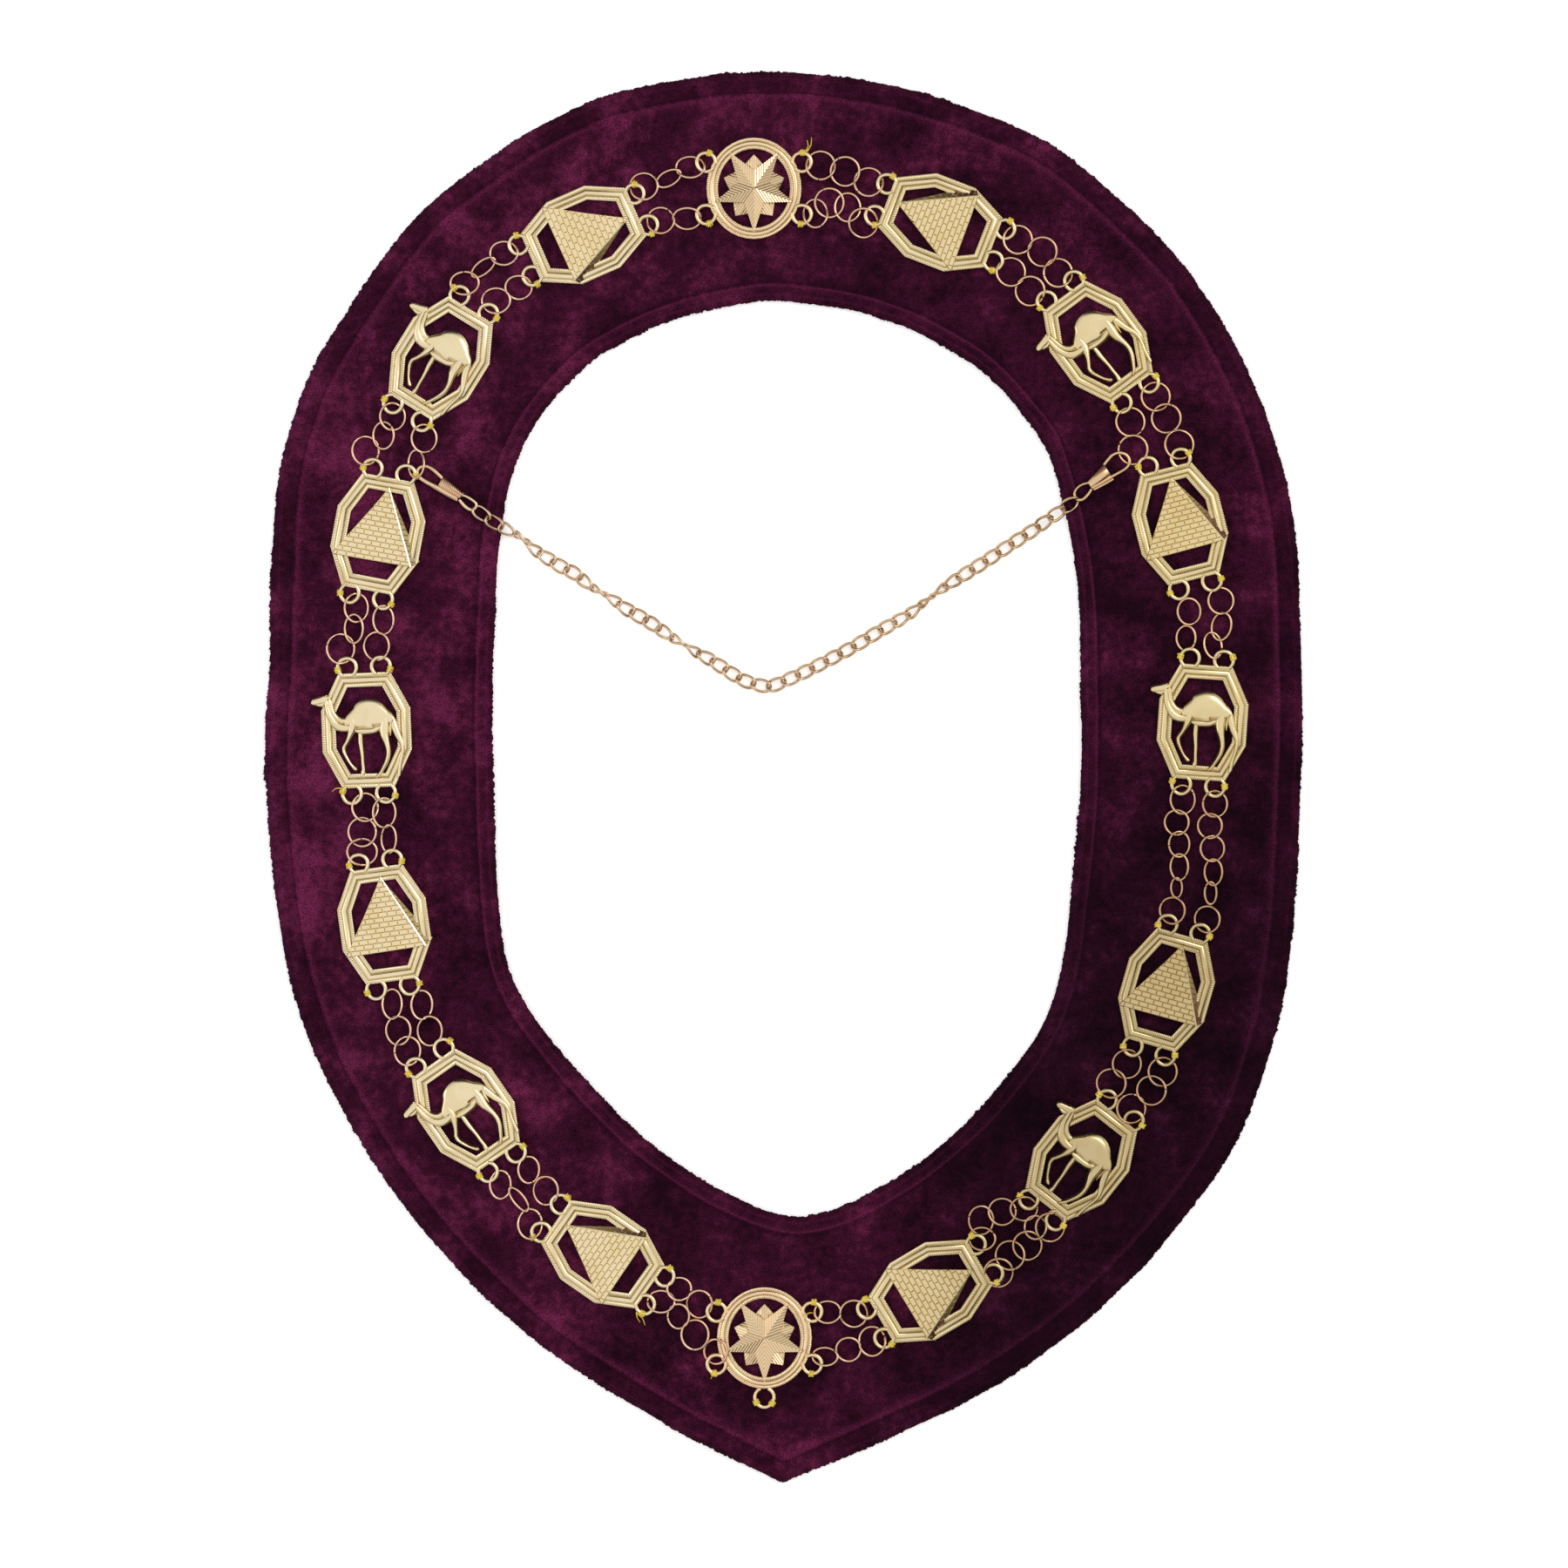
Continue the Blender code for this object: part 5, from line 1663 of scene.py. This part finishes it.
@dataclass(frozen=True)
class SnapHook:
    """Snap hook: a bent bow, a stiff back, a tapered sleeve and a small eye."""

    node: str
    px: float
    py: float
    heading: float
    mirror: int
    sleeve_kind: SleeveKind
    bow: tuple[HookRow, ...]
    back: tuple[HookRow, ...]
    sleeve: tuple[HookRow, ...]
    eye: tuple[HookRow, ...]
    level: float = 5.1 * MM
    turns: int = 12
    turn_steps: int = 14
    sleeve_sides: int = 24
    winding: float = 0.40 * MM
    winding_sink: float = 0.1 * MM
    back_lift: float = 0.25 * MM
    # Past this distance from the sleeve's middle, one side of a folded sleeve takes painted shade.
    shade_start: float = 0.1 * MM
    span_steps: int = 5
    flatness: float = 0.55
    wire_flatness: float = 0.8
    stoutness: float = 1.12

    @property
    def placing(self) -> Matrix:
        """Matrix from the hook's own frame to the collar's."""
        turn = Matrix.Rotation(math.radians(self.heading), 4, "Z")
        return Matrix.Translation(photo_point(self.px, self.py, self.level)) @ turn

    def add_wire(self, bm: Shape, rows: Sequence[HookRow], lift: float = 0.0) -> None:
        """Adds a flattened wire along a table of points.

        Args:
            bm: Shape of the hook.
            rows: The wire's points and half widths.
            lift: Its height above the hook's middle.
        """
        table = []
        for row in rows:
            table.append(Vector((row.along, row.beside * self.mirror, row.half * self.stoutness)) * MM)
        run = smooth_run(table, self.span_steps)
        path = [flattened(spot) for spot in run]
        verts = wire(bm, path, [spot.z for spot in run], 8)
        for vert in verts:
            vert.co.z = vert.co.z * self.wire_flatness + lift

    def sleeve_point(self, spot: Vector, angle: float, reach: float) -> Vector:
        """Point round the flattened sleeve, at an angle and a reach from its middle."""
        flat = Vector((0.0, math.cos(angle) * reach, math.sin(angle) * reach * self.flatness))
        return flattened(spot) + flat

    def add_sleeve(self, bm: Shape) -> None:
        """Adds the tapered sleeve."""
        layer = bm.verts.layers.float[PAINTED_SHADING]
        wide, neck = (Vector((row.along, row.beside * self.mirror, row.half)) * MM for row in self.sleeve)
        rows = []
        for share, size in SLEEVE_OUTLINE:
            spot = wide.lerp(neck, share)
            ring = []
            for step in range(self.sleeve_sides + 1):
                angle = 2 * math.pi * (step % self.sleeve_sides) / self.sleeve_sides
                ring.append(self.sleeve_point(spot, angle, spot.z * size))
            rows.append(ring)
        verts = skin(bm, rows)
        if self.sleeve_kind is SleeveKind.FOLDED:
            # One side of the folded sleeve takes painted shade.
            for vert in verts:
                vert[layer] = 1.0 if (vert.co.y - wide.y) * self.mirror > self.shade_start else 0.0
            return
        path = []
        steps = self.turns * self.turn_steps
        for step in range(steps + 1):
            share = step / steps
            spot = wide.lerp(neck, share)
            angle = 2 * math.pi * self.turns * share
            path.append(self.sleeve_point(spot, angle, spot.z - self.winding_sink))
        # Painted shade deepens across the winding into a painted shadow on one side.
        for vert in wire(bm, path, self.winding):
            across = (vert.co.y - wide.y) * self.mirror / wide.z
            vert[layer] = min(max(0.45 + 1.3 * across, 0.0), 1.8)

    def build(self, finish: Material) -> Piece:
        """Builds the hook.

        Args:
            finish: Material of the hook.

        Returns:
            The seated hook.
        """
        bm = new_shape()
        self.add_wire(bm, self.bow)
        self.add_wire(bm, self.back, self.back_lift)
        self.add_wire(bm, self.eye)
        self.add_sleeve(bm)
        bmesh.ops.transform(bm, matrix=self.placing, verts=bm.verts)
        piece = finished_piece(self.node + "_wire", bm, finish)
        return seat(piece, [self.node])


RIGHT_HOOK = SnapHook(
    node="snap_hook_right",
    px=482.0,
    py=543.2,
    heading=-33.7,
    mirror=1,
    sleeve_kind=SleeveKind.WOUND,
    bow=named_rows(
        HookRow,
        (10.6, 3.5, 0.75), (7.5, 4.1, 0.85), (4.2, 4.55, 0.85), (1.3, 4.3, 0.75), (-0.7, 2.7, 0.75),
        (-1.15, 0.6, 0.80), (-0.2, -1.0, 0.85), (2.0, -1.75, 0.90), (5.6, -1.65, 0.95), (10.4, -1.45, 0.95),
        (16.0, -1.2, 0.85), (21.0, -0.7, 0.75),
    ),
    back=named_rows(HookRow, (6.3, -1.5, 0.9), (10.0, -1.1, 1.0), (16.0, -0.8, 1.0), (20.5, -0.3, 0.8)),
    sleeve=named_rows(HookRow, (10.2, 1.95, 2.65), (21.6, 1.75, 1.45)),
    eye=named_rows(
        HookRow,
        (20.9, 2.0, 0.6), (23.0, 2.8, 0.6), (26.0, 3.0, 0.6), (28.8, 2.6, 0.6), (29.7, 1.2, 0.65),
        (29.2, -0.4, 0.75), (27.4, -1.2, 0.8), (24.8, -1.1, 0.8), (21.6, -0.2, 0.7),
    ),
)

LEFT_HOOK = SnapHook(
    node="snap_hook_left",
    px=1297.3,
    py=530.9,
    heading=-148.5,
    mirror=-1,
    sleeve_kind=SleeveKind.FOLDED,
    bow=named_rows(
        HookRow,
        (11.0, 5.0, 0.7), (8.0, 6.1, 0.8), (5.2, 6.8, 0.8), (2.3, 6.3, 0.7), (0.2, 4.2, 0.65),
        (-0.2, 1.8, 0.65), (0.7, -0.2, 0.70), (2.9, -1.3, 0.75), (5.9, -1.4, 0.75), (10.9, -1.2, 0.75),
        (16.0, -1.1, 0.7), (21.0, -0.9, 0.6),
    ),
    back=named_rows(
        HookRow,
        (10.6, -2.5, 0.55), (13.0, -2.45, 0.6), (18.0, -2.2, 0.6), (20.6, -2.0, 0.5),
    ),
    sleeve=named_rows(HookRow, (10.7, 2.4, 3.2), (21.2, 0.9, 1.65)),
    eye=named_rows(
        HookRow,
        (20.9, 1.9, 0.5), (23.6, 2.7, 0.55), (26.4, 2.5, 0.55), (28.6, 1.3, 0.55), (29.3, -0.5, 0.6),
        (28.7, -2.2, 0.7), (26.6, -3.1, 0.75), (23.8, -2.5, 0.75), (21.3, -1.3, 0.65),
    ),
)


class TailRow(NamedTuple):
    """One long loose end of thread in photo pixels."""

    start_x: float
    start_y: float
    end_x: float
    end_y: float


LONG_TAILS = {
    "star_roundel_top": (TailRow(924.5, 175.5, 926.3, 162.0), TailRow(926.0, 176.0, 931.4, 158.6)),
    "star_roundel_bottom": (TailRow(822.0, 1571.0, 816.0, 1582.0), TailRow(925.0, 1508.0, 935.0, 1507.0)),
    "pyramid_plate_5": (TailRow(731.7, 1506.0, 740.5, 1520.5), TailRow(731.0, 1505.0, 735.0, 1517.0)),
    "camel_plate_5": (TailRow(393.5, 905.0, 382.0, 908.5),),
}


@dataclass(frozen=True)
class ThreadTies:
    """Short ties of thread that sew the castings' loops to the velvet."""

    wraps: int = 5
    wrap_pitch: float = 0.42 * MM
    offset: float = 4.25 * MM
    wrap_radius: float = 1.18 * MM
    wrap_steps: int = 10
    thread: float = 0.29 * MM
    thread_sides: int = 5
    tails: int = 6
    swing: float = math.radians(24)
    jewel_ties: tuple[int, ...] = (-145, -35)

    def add_tie(self, bm: Shape, middle: Vector, outward: Vector, draw: random.Random) -> None:
        """Adds one tie round a loop's wire.

        Args:
            bm: Shape of the ties.
            middle: Middle of the loop.
            outward: Direction from the loop's middle to the tie.
            draw: Source of the small differences between ties.
        """
        outward = Matrix.Rotation(draw.uniform(-self.swing, self.swing), 3, "Z") @ outward
        spot = middle + outward * self.offset
        along = left_of(outward)
        for wrap in range(self.wraps):
            place = (wrap - (self.wraps - 1) / 2) * self.wrap_pitch + draw.uniform(-0.12, 0.12) * MM
            tilt = draw.uniform(-0.5, 0.5)
            path = []
            for step in range(self.wrap_steps):
                angle = 2 * math.pi * step / self.wrap_steps
                reach = self.wrap_radius * draw.uniform(0.96, 1.12)
                shift = along * (place + math.sin(angle) * tilt * MM)
                flat = outward * math.cos(angle) * reach
                path.append(spot + shift + flat + UP * math.sin(angle) * reach)
            wire(bm, path, self.thread, self.thread_sides, closed=True)
        for _ in range(self.tails):
            angle = draw.uniform(-1.9, 1.9)
            heading = outward * math.cos(angle) + along * math.sin(angle)
            start = spot + heading * 0.7 * MM + UP * draw.uniform(0.4, 1.1) * MM
            self.add_tail(bm, start, start + heading * draw.uniform(0.5, 1.2) * MM, draw)

    def add_tail(self, bm: Shape, start: Vector, end: Vector, draw: random.Random) -> None:
        """Adds one loose end of thread that falls to the velvet.

        Args:
            bm: Shape of the ties.
            start: Where it leaves the knot.
            end: Where it ends, seen from above.
            draw: Source of its bend.
        """
        along = end - start
        aside = left_of(along) * draw.uniform(-0.2, 0.2)
        tip = Vector((end.x, end.y, max(VELVET_TOP + 0.5 * MM, start.z - along.length * 0.6)))
        run = smooth_run([start, start.lerp(tip, 0.5) + aside + Vector((0, 0, 0.3 * MM)), tip], 2)
        radii = [self.thread * (1.0 - 0.12 * index) for index in range(len(run))]
        wire(bm, run, radii, self.thread_sides)

    def build(self, medallion: Medallion, finish: Material) -> Piece:
        """Builds the ties of one medallion.

        Args:
            medallion: The medallion that they hold.
            finish: Material of the thread.

        Returns:
            The seated piece.
        """
        draw = random.Random(medallion.name)
        bm = new_shape()
        placing = medallion.placing
        axis = Vector((0.0, 1.0, 0.0)) if medallion.kind.is_round else Vector((1.0, 0.0, 0.0))
        for spot in medallion.loop_spots:
            outward = placing.to_3x3() @ (axis * math.copysign(1.0, spot.dot(axis)))
            self.add_tie(bm, placing @ spot, outward, draw)
        if medallion.kind is PlateKind.JEWEL_STAR:
            for degrees in self.jewel_ties:
                heading = math.radians(degrees)
                outward = Vector((math.cos(heading), math.sin(heading), 0.0))
                self.add_tie(bm, placing @ JEWEL_LOOP_SPOT, outward, draw)
        for row in LONG_TAILS.get(medallion.name, ()):
            start = photo_point(row.start_x, row.start_y, WIRE_LEVEL + 1.2 * MM)
            self.add_tail(bm, start, photo_point(row.end_x, row.end_y, WIRE_LEVEL), draw)
        piece = finished_piece(medallion.name + "_ties", bm, finish)
        return seat(piece)


class VelvetRow(NamedTuple):
    """One line of the velvet's section: how far inside the edge, how high, and its mark of painted shade
    above 0 and painted highlight below 0.
    """

    inset: float
    height: float
    mark: float


# Marks: painted shade on the outer hem and in its seam, painted highlights with brushed pile on its rolled
# ridges.
OUTER_EDGE = named_rows(
    VelvetRow,
    (0.9, 0.05, 0.3), (0.15, 0.7, 0.3), (0.0, 1.7, 0.2), (0.4, 2.75, 0.1), (1.6, 3.35, 0.1),
    (2.7, 3.45, -0.35), (3.8, 3.50, 0.35), (6.4, 3.42, 0.40), (8.1, 3.15, 0.45), (8.8, 2.75, 0.80),
    (9.4, 2.95, -0.20), (10.2, 3.15, -0.75), (12.6, 3.22, -0.25),
)

# Marks: painted highlights with brushed pile on the inner hem, painted shade in and beside its seam.
INNER_EDGE = named_rows(
    VelvetRow,
    (0.9, 0.05, 0.2), (0.15, 0.7, 0.2), (0.0, 1.6, 0.1), (0.35, 2.65, 0.0), (1.3, 3.25, -0.05),
    (2.4, 3.36, -0.45), (3.3, 3.42, -0.10), (5.6, 3.42, -0.25), (6.8, 3.34, -0.85),
    (7.4, 3.05, 0.10), (7.9, 2.75, 0.85), (8.7, 2.98, 0.45), (11.2, 3.18, 0.20),
)


@dataclass(frozen=True)
class VelvetBacking:
    """Padded velvet band, with a sewn hem inside both edges and a short pile."""

    node: str = "velvet_backing"
    span_steps: int = 5
    field_rows: int = 14
    field_gap: float = 2.5
    swell: float = 0.22 * MM
    wander: float = 0.45 * MM
    swell_wave: float = 34.0
    crease_wave: float = 95.0
    wander_wave: float = 42.0
    clump_wave: float = 520.0
    rough_wave: float = 45.0
    seed: int = 12
    tuft: float = 0.9 * MM
    tuft_levels: tuple[float, ...] = (1.0 * MM, 1.7 * MM, 2.4 * MM)

    def foot_lines(self) -> tuple[list[Vector], list[Vector]]:
        """Reads the outer and inner edge of the CAD velvet where it meets the floor.

        Returns:
            Two runs of points that both start at the collar's point.
        """
        bm = bmesh.new()
        bm.from_mesh(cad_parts[self.node].data)
        bmesh.ops.remove_doubles(bm, verts=bm.verts, dist=0.01 * MM)
        bm.normal_update()
        foot = []
        for edge in bm.edges:
            slopes = sorted(abs(face.normal.z) for face in edge.link_faces)
            if max(vert.co.z for vert in edge.verts) < 0.05 * MM and slopes[0] < 0.7 < slopes[-1]:
                foot.append(edge)
        left = set(foot)
        runs = []
        while left:
            start = min((vert for edge in left for vert in edge.verts), key=lambda vert: vert.co.y)
            options = [edge for edge in start.link_edges if edge in left]
            edge = min(options, key=lambda item: item.other_vert(start).co.x)
            run = [start.co.copy()]
            vert = start
            while edge is not None:
                left.discard(edge)
                vert = edge.other_vert(vert)
                run.append(vert.co.copy())
                edge = next((item for item in vert.link_edges if item in left), None)
            runs.append(run)
        bm.free()
        runs.sort(key=lambda run: min(point.y for point in run))
        return runs[0], runs[1]

    def section(self, outer: Vector, inner: Vector) -> list[tuple[Vector, float]]:
        """Shapes the band's section between two facing edge points.

        Args:
            outer: Point on the outer edge.
            inner: Point on the inner edge.

        Returns:
            Points round the section, each with its mark: painted shade above 0, as in a seam, and a painted
            highlight with brushed pile below 0.
        """
        width = (inner - outer).length / MM
        first = OUTER_EDGE[-1].inset + self.field_gap
        last = width - INNER_EDGE[-1].inset - self.field_gap
        rows = list(OUTER_EDGE)
        for step in range(self.field_rows + 1):
            inset = first + (last - first) * step / self.field_rows
            rows.append(VelvetRow(inset, VELVET_TOP / MM, 0.0))
        rows += [VelvetRow(width - row.inset, row.height, row.mark) for row in reversed(INNER_EDGE)]
        points = []
        for row in rows:
            point = outer.lerp(inner, row.inset / width)
            point.z = row.height * MM
            points.append((point, row.mark))
        return points + points[:1]

    def ruffled(self, point: Vector) -> Vector:
        """Lets a point of the velvet wander a little, as sewn cloth does."""
        coarse = noise.noise(Vector((point.x, point.y, 0.3)) * self.swell_wave)
        fine = noise.noise(Vector((point.x, point.y, 7.7)) * self.crease_wave)
        sway = noise.noise_vector(Vector((point.x, point.y, 3.1)) * self.wander_wave)
        share = min(point.z / VELVET_TOP, 1.0)
        rise = (coarse + 0.45 * fine) * self.swell * share
        return point + Vector((sway.x * self.wander, sway.y * self.wander, rise))

    def build(self, finish: Material) -> Piece:
        """Builds the padded band.

        Args:
            finish: The velvet's material.

        Returns:
            The seated band.
        """
        outer, inner = (smooth_run(run, self.span_steps) for run in self.foot_lines())
        rows = []
        marks = []
        for outer_point, inner_point in zip(outer, inner):
            section = self.section(outer_point, inner_point)
            rows.append([self.ruffled(point) for point, _ in section])
            marks.append([depth for _, depth in section])
        bm = new_shape()
        skin(bm, rows, marks)
        piece = finished_piece("velvet_band", bm, finish, sharp=180.0)
        subdivision = piece.modifiers.new("softened", "SUBSURF")
        subdivision.levels = 1
        subdivision.render_levels = 1
        return seat(piece, [self.node])

    def build_fringe(self, finish: Material) -> Piece:
        """Builds the tufts of pile that stand out past both edges of the band.

        Args:
            finish: The velvet's material.

        Returns:
            The seated fringe.
        """
        draw = random.Random(self.seed)
        bm = new_shape()
        for outward, run in zip((1.0, -1.0), self.foot_lines()):
            line = evenly(smooth_run(run, self.span_steps), self.tuft / 2)
            for height in self.tuft_levels:
                rows = []
                for index, point in enumerate(line):
                    along = (line[min(index + 1, len(line) - 1)] - line[max(index - 1, 0)]).normalized()
                    aside = left_of(along) * outward
                    clump = noise.noise(Vector((point.x, point.y, height * 90)) * self.clump_wave)
                    rough = 1.0 + 0.9 * noise.noise(Vector((point.x, point.y, 5.5)) * self.rough_wave)
                    reach = (0.24 + 0.80 * clump + draw.random() ** 2 * 0.42) * rough
                    spot = self.ruffled(point + UP * height) + along * draw.uniform(-0.15, 0.15) * MM
                    tip = spot + aside * reach * MM + UP * draw.uniform(-0.3, 0.3) * MM
                    root = spot - aside * 0.9 * MM
                    rows.append([root - UP * 0.45 * MM, tip, root + UP * 0.45 * MM, root - UP * 0.45 * MM])
                skin(bm, rows, weld=0.0005 * MM)
        piece = finished_piece("velvet_pile_fringe", bm, finish, sharp=180.0)
        return seat(piece)


class RoomPatch(NamedTuple):
    """A soft patch of the room: its direction and radius in degrees, and its change in brightness."""

    azimuth: float
    elevation: float
    radius: float
    change: float


ROOM_PATCHES = (
    RoomPatch(24.0, 20.0, 24.0, 0.50),
    RoomPatch(-40.0, 20.0, 36.0, -0.60),
    RoomPatch(92.0, 20.0, 36.0, -0.60),
)


@dataclass(frozen=True)
class Studio:
    """Pale floor, soft light and the camera straight above."""

    camera_height: float = 3.0
    sensor_mm: float = 36.0
    floor_size: float = 6.0
    floor_level: float = -0.2 * MM

    def place_camera(self) -> None:
        """Places the camera over the middle of the photograph."""
        data = bpy.data.cameras.new("overhead_camera")
        data.sensor_width = self.sensor_mm
        data.lens = self.sensor_mm * self.camera_height / (PHOTO_PX * PIXEL)
        data.clip_end = 20.0
        camera = bpy.data.objects.new("overhead_camera", data)
        camera.location = photo_point(PHOTO_PX / 2, PHOTO_PX / 2, self.camera_height)
        bpy.context.scene.camera = show(camera)

    def lay_floor(self) -> None:
        """Lays the plain pale floor."""
        material, shader, _ = bare_material("pale_floor")
        fill(shader, {"Base Color": (0.90, 0.90, 0.90), "Roughness": 0.9, "Specular IOR Level": 0.1})
        fill(shader, {"Emission Color": (1.0, 0.99, 1.0), "Emission Strength": 0.42})
        bm = bmesh.new()
        bmesh.ops.create_grid(bm, x_segments=8, y_segments=8, size=self.floor_size / 2)
        bmesh.ops.translate(bm, vec=(0.0, 0.0, self.floor_level), verts=bm.verts)
        floor = finished_piece("studio_floor", bm, material)

    def hang_light(self, name: str, at: Vector, width: float, depth: float, power: float) -> None:
        """Hangs one soft box that faces the collar.

        Args:
            name: Name of the light.
            at: Where it hangs.
            width: Its width.
            depth: Its depth.
            power: Its power in watts.
        """
        data = bpy.data.lights.new(name, "AREA")
        data.shape = "RECTANGLE"
        data.size = width
        data.size_y = depth
        data.energy = power
        light = bpy.data.objects.new(name, data)
        light.location = at
        light.rotation_euler = (-at).to_track_quat("-Z", "Y").to_euler()
        show(light)

    def add_patch(self, tree: NodeTree, direction: Plug, patch: RoomPatch) -> Plug:
        """Adds a soft round patch to the room.

        Args:
            tree: The room's nodes.
            direction: The direction looked in.
            patch: Where the patch lies and how it changes the light.

        Returns:
            The change in brightness in that direction.
        """
        azimuth, elevation = math.radians(patch.azimuth), math.radians(patch.elevation)
        reach = math.cos(elevation)
        dot = tree.nodes.new("ShaderNodeVectorMath")
        dot.operation = "DOT_PRODUCT"
        aim = (math.cos(azimuth) * reach, math.sin(azimuth) * reach, math.sin(elevation))
        dot.inputs[1].default_value = aim
        tree.links.new(direction, dot.inputs[0])
        rim, heart = (math.cos(math.radians(patch.radius * share)) for share in (1.0, 0.4))
        edge = tree.nodes.new("ShaderNodeMapRange")
        edge.interpolation_type = "SMOOTHSTEP"
        fill(edge, {"From Min": rim, "From Max": heart, "To Min": 0.0, "To Max": patch.change})
        tree.links.new(dot.outputs["Value"], edge.inputs["Value"])
        return edge.outputs["Result"]

    def light_room(self) -> None:
        """Lights the room: bright overhead, softer lower down, with a few bright and dark patches."""
        world = bpy.data.worlds.new("studio_room")
        bpy.context.scene.world = world
        world.use_nodes = True
        tree = world.node_tree
        background = tree.nodes["Background"]
        direction = tree.nodes.new("ShaderNodeTexCoord").outputs["Generated"]
        split = tree.nodes.new("ShaderNodeSeparateXYZ")
        rise = tree.nodes.new("ShaderNodeMapRange")
        fill(rise, {"From Min": 0.15, "From Max": 0.80, "To Min": 0.36, "To Max": 0.93})
        tree.links.new(direction, split.inputs["Vector"])
        tree.links.new(split.outputs["Z"], rise.inputs["Value"])
        strength = rise.outputs["Result"]
        for patch in ROOM_PATCHES:
            total = tree.nodes.new("ShaderNodeMath")
            tree.links.new(strength, total.inputs[0])
            tree.links.new(self.add_patch(tree, direction, patch), total.inputs[1])
            strength = total.outputs[0]
        floor = tree.nodes.new("ShaderNodeMath")
        floor.operation = "MAXIMUM"
        floor.inputs[1].default_value = 0.02
        tree.links.new(strength, floor.inputs[0])
        tree.links.new(floor.outputs[0], background.inputs["Strength"])
        fill(background, {"Color": (1.0, 0.985, 0.96)})
        self.hang_light("key_softbox", Vector((1.15, 0.95, 2.25)), 1.0, 0.8, 8.5)
        self.hang_light("left_softbox", Vector((-2.2, 0.1, 1.1)), 1.5, 1.0, 5.0)

    def build(self) -> None:
        """Sets up the whole studio."""
        self.place_camera()
        self.lay_floor()
        self.light_room()
        bpy.context.scene.view_settings.view_transform = "Standard"


def main() -> None:
    """Builds the collar and its studio."""
    logging.basicConfig(level=logging.INFO, format="%(name)s %(message)s")
    noise.seed_set(NOISE_SEED)
    Studio().build()
    palette = Palette.mixed()

    velvet = VelvetBacking()
    band = velvet.build(palette.velvet)
    velvet.build_fringe(palette.velvet)

    templates = {}
    for medallion in MEDALLIONS:
        if medallion.kind not in templates:
            finish = palette.roundel if medallion.kind.is_round else palette.plate
            templates[medallion.kind] = medallion.template(finish)
        medallion.build(templates[medallion.kind])

    loops = all_loops()
    for strand in STRANDS:
        RingStrands().build(strand, loops, palette.ring)
    for hook in (RIGHT_HOOK, LEFT_HOOK):
        hook.build(palette.hook)
    CurbChain().build(palette.chain)
    for medallion in MEDALLIONS:
        ThreadTies().build(medallion, palette.thread)


if __name__ == "__main__":
    main()
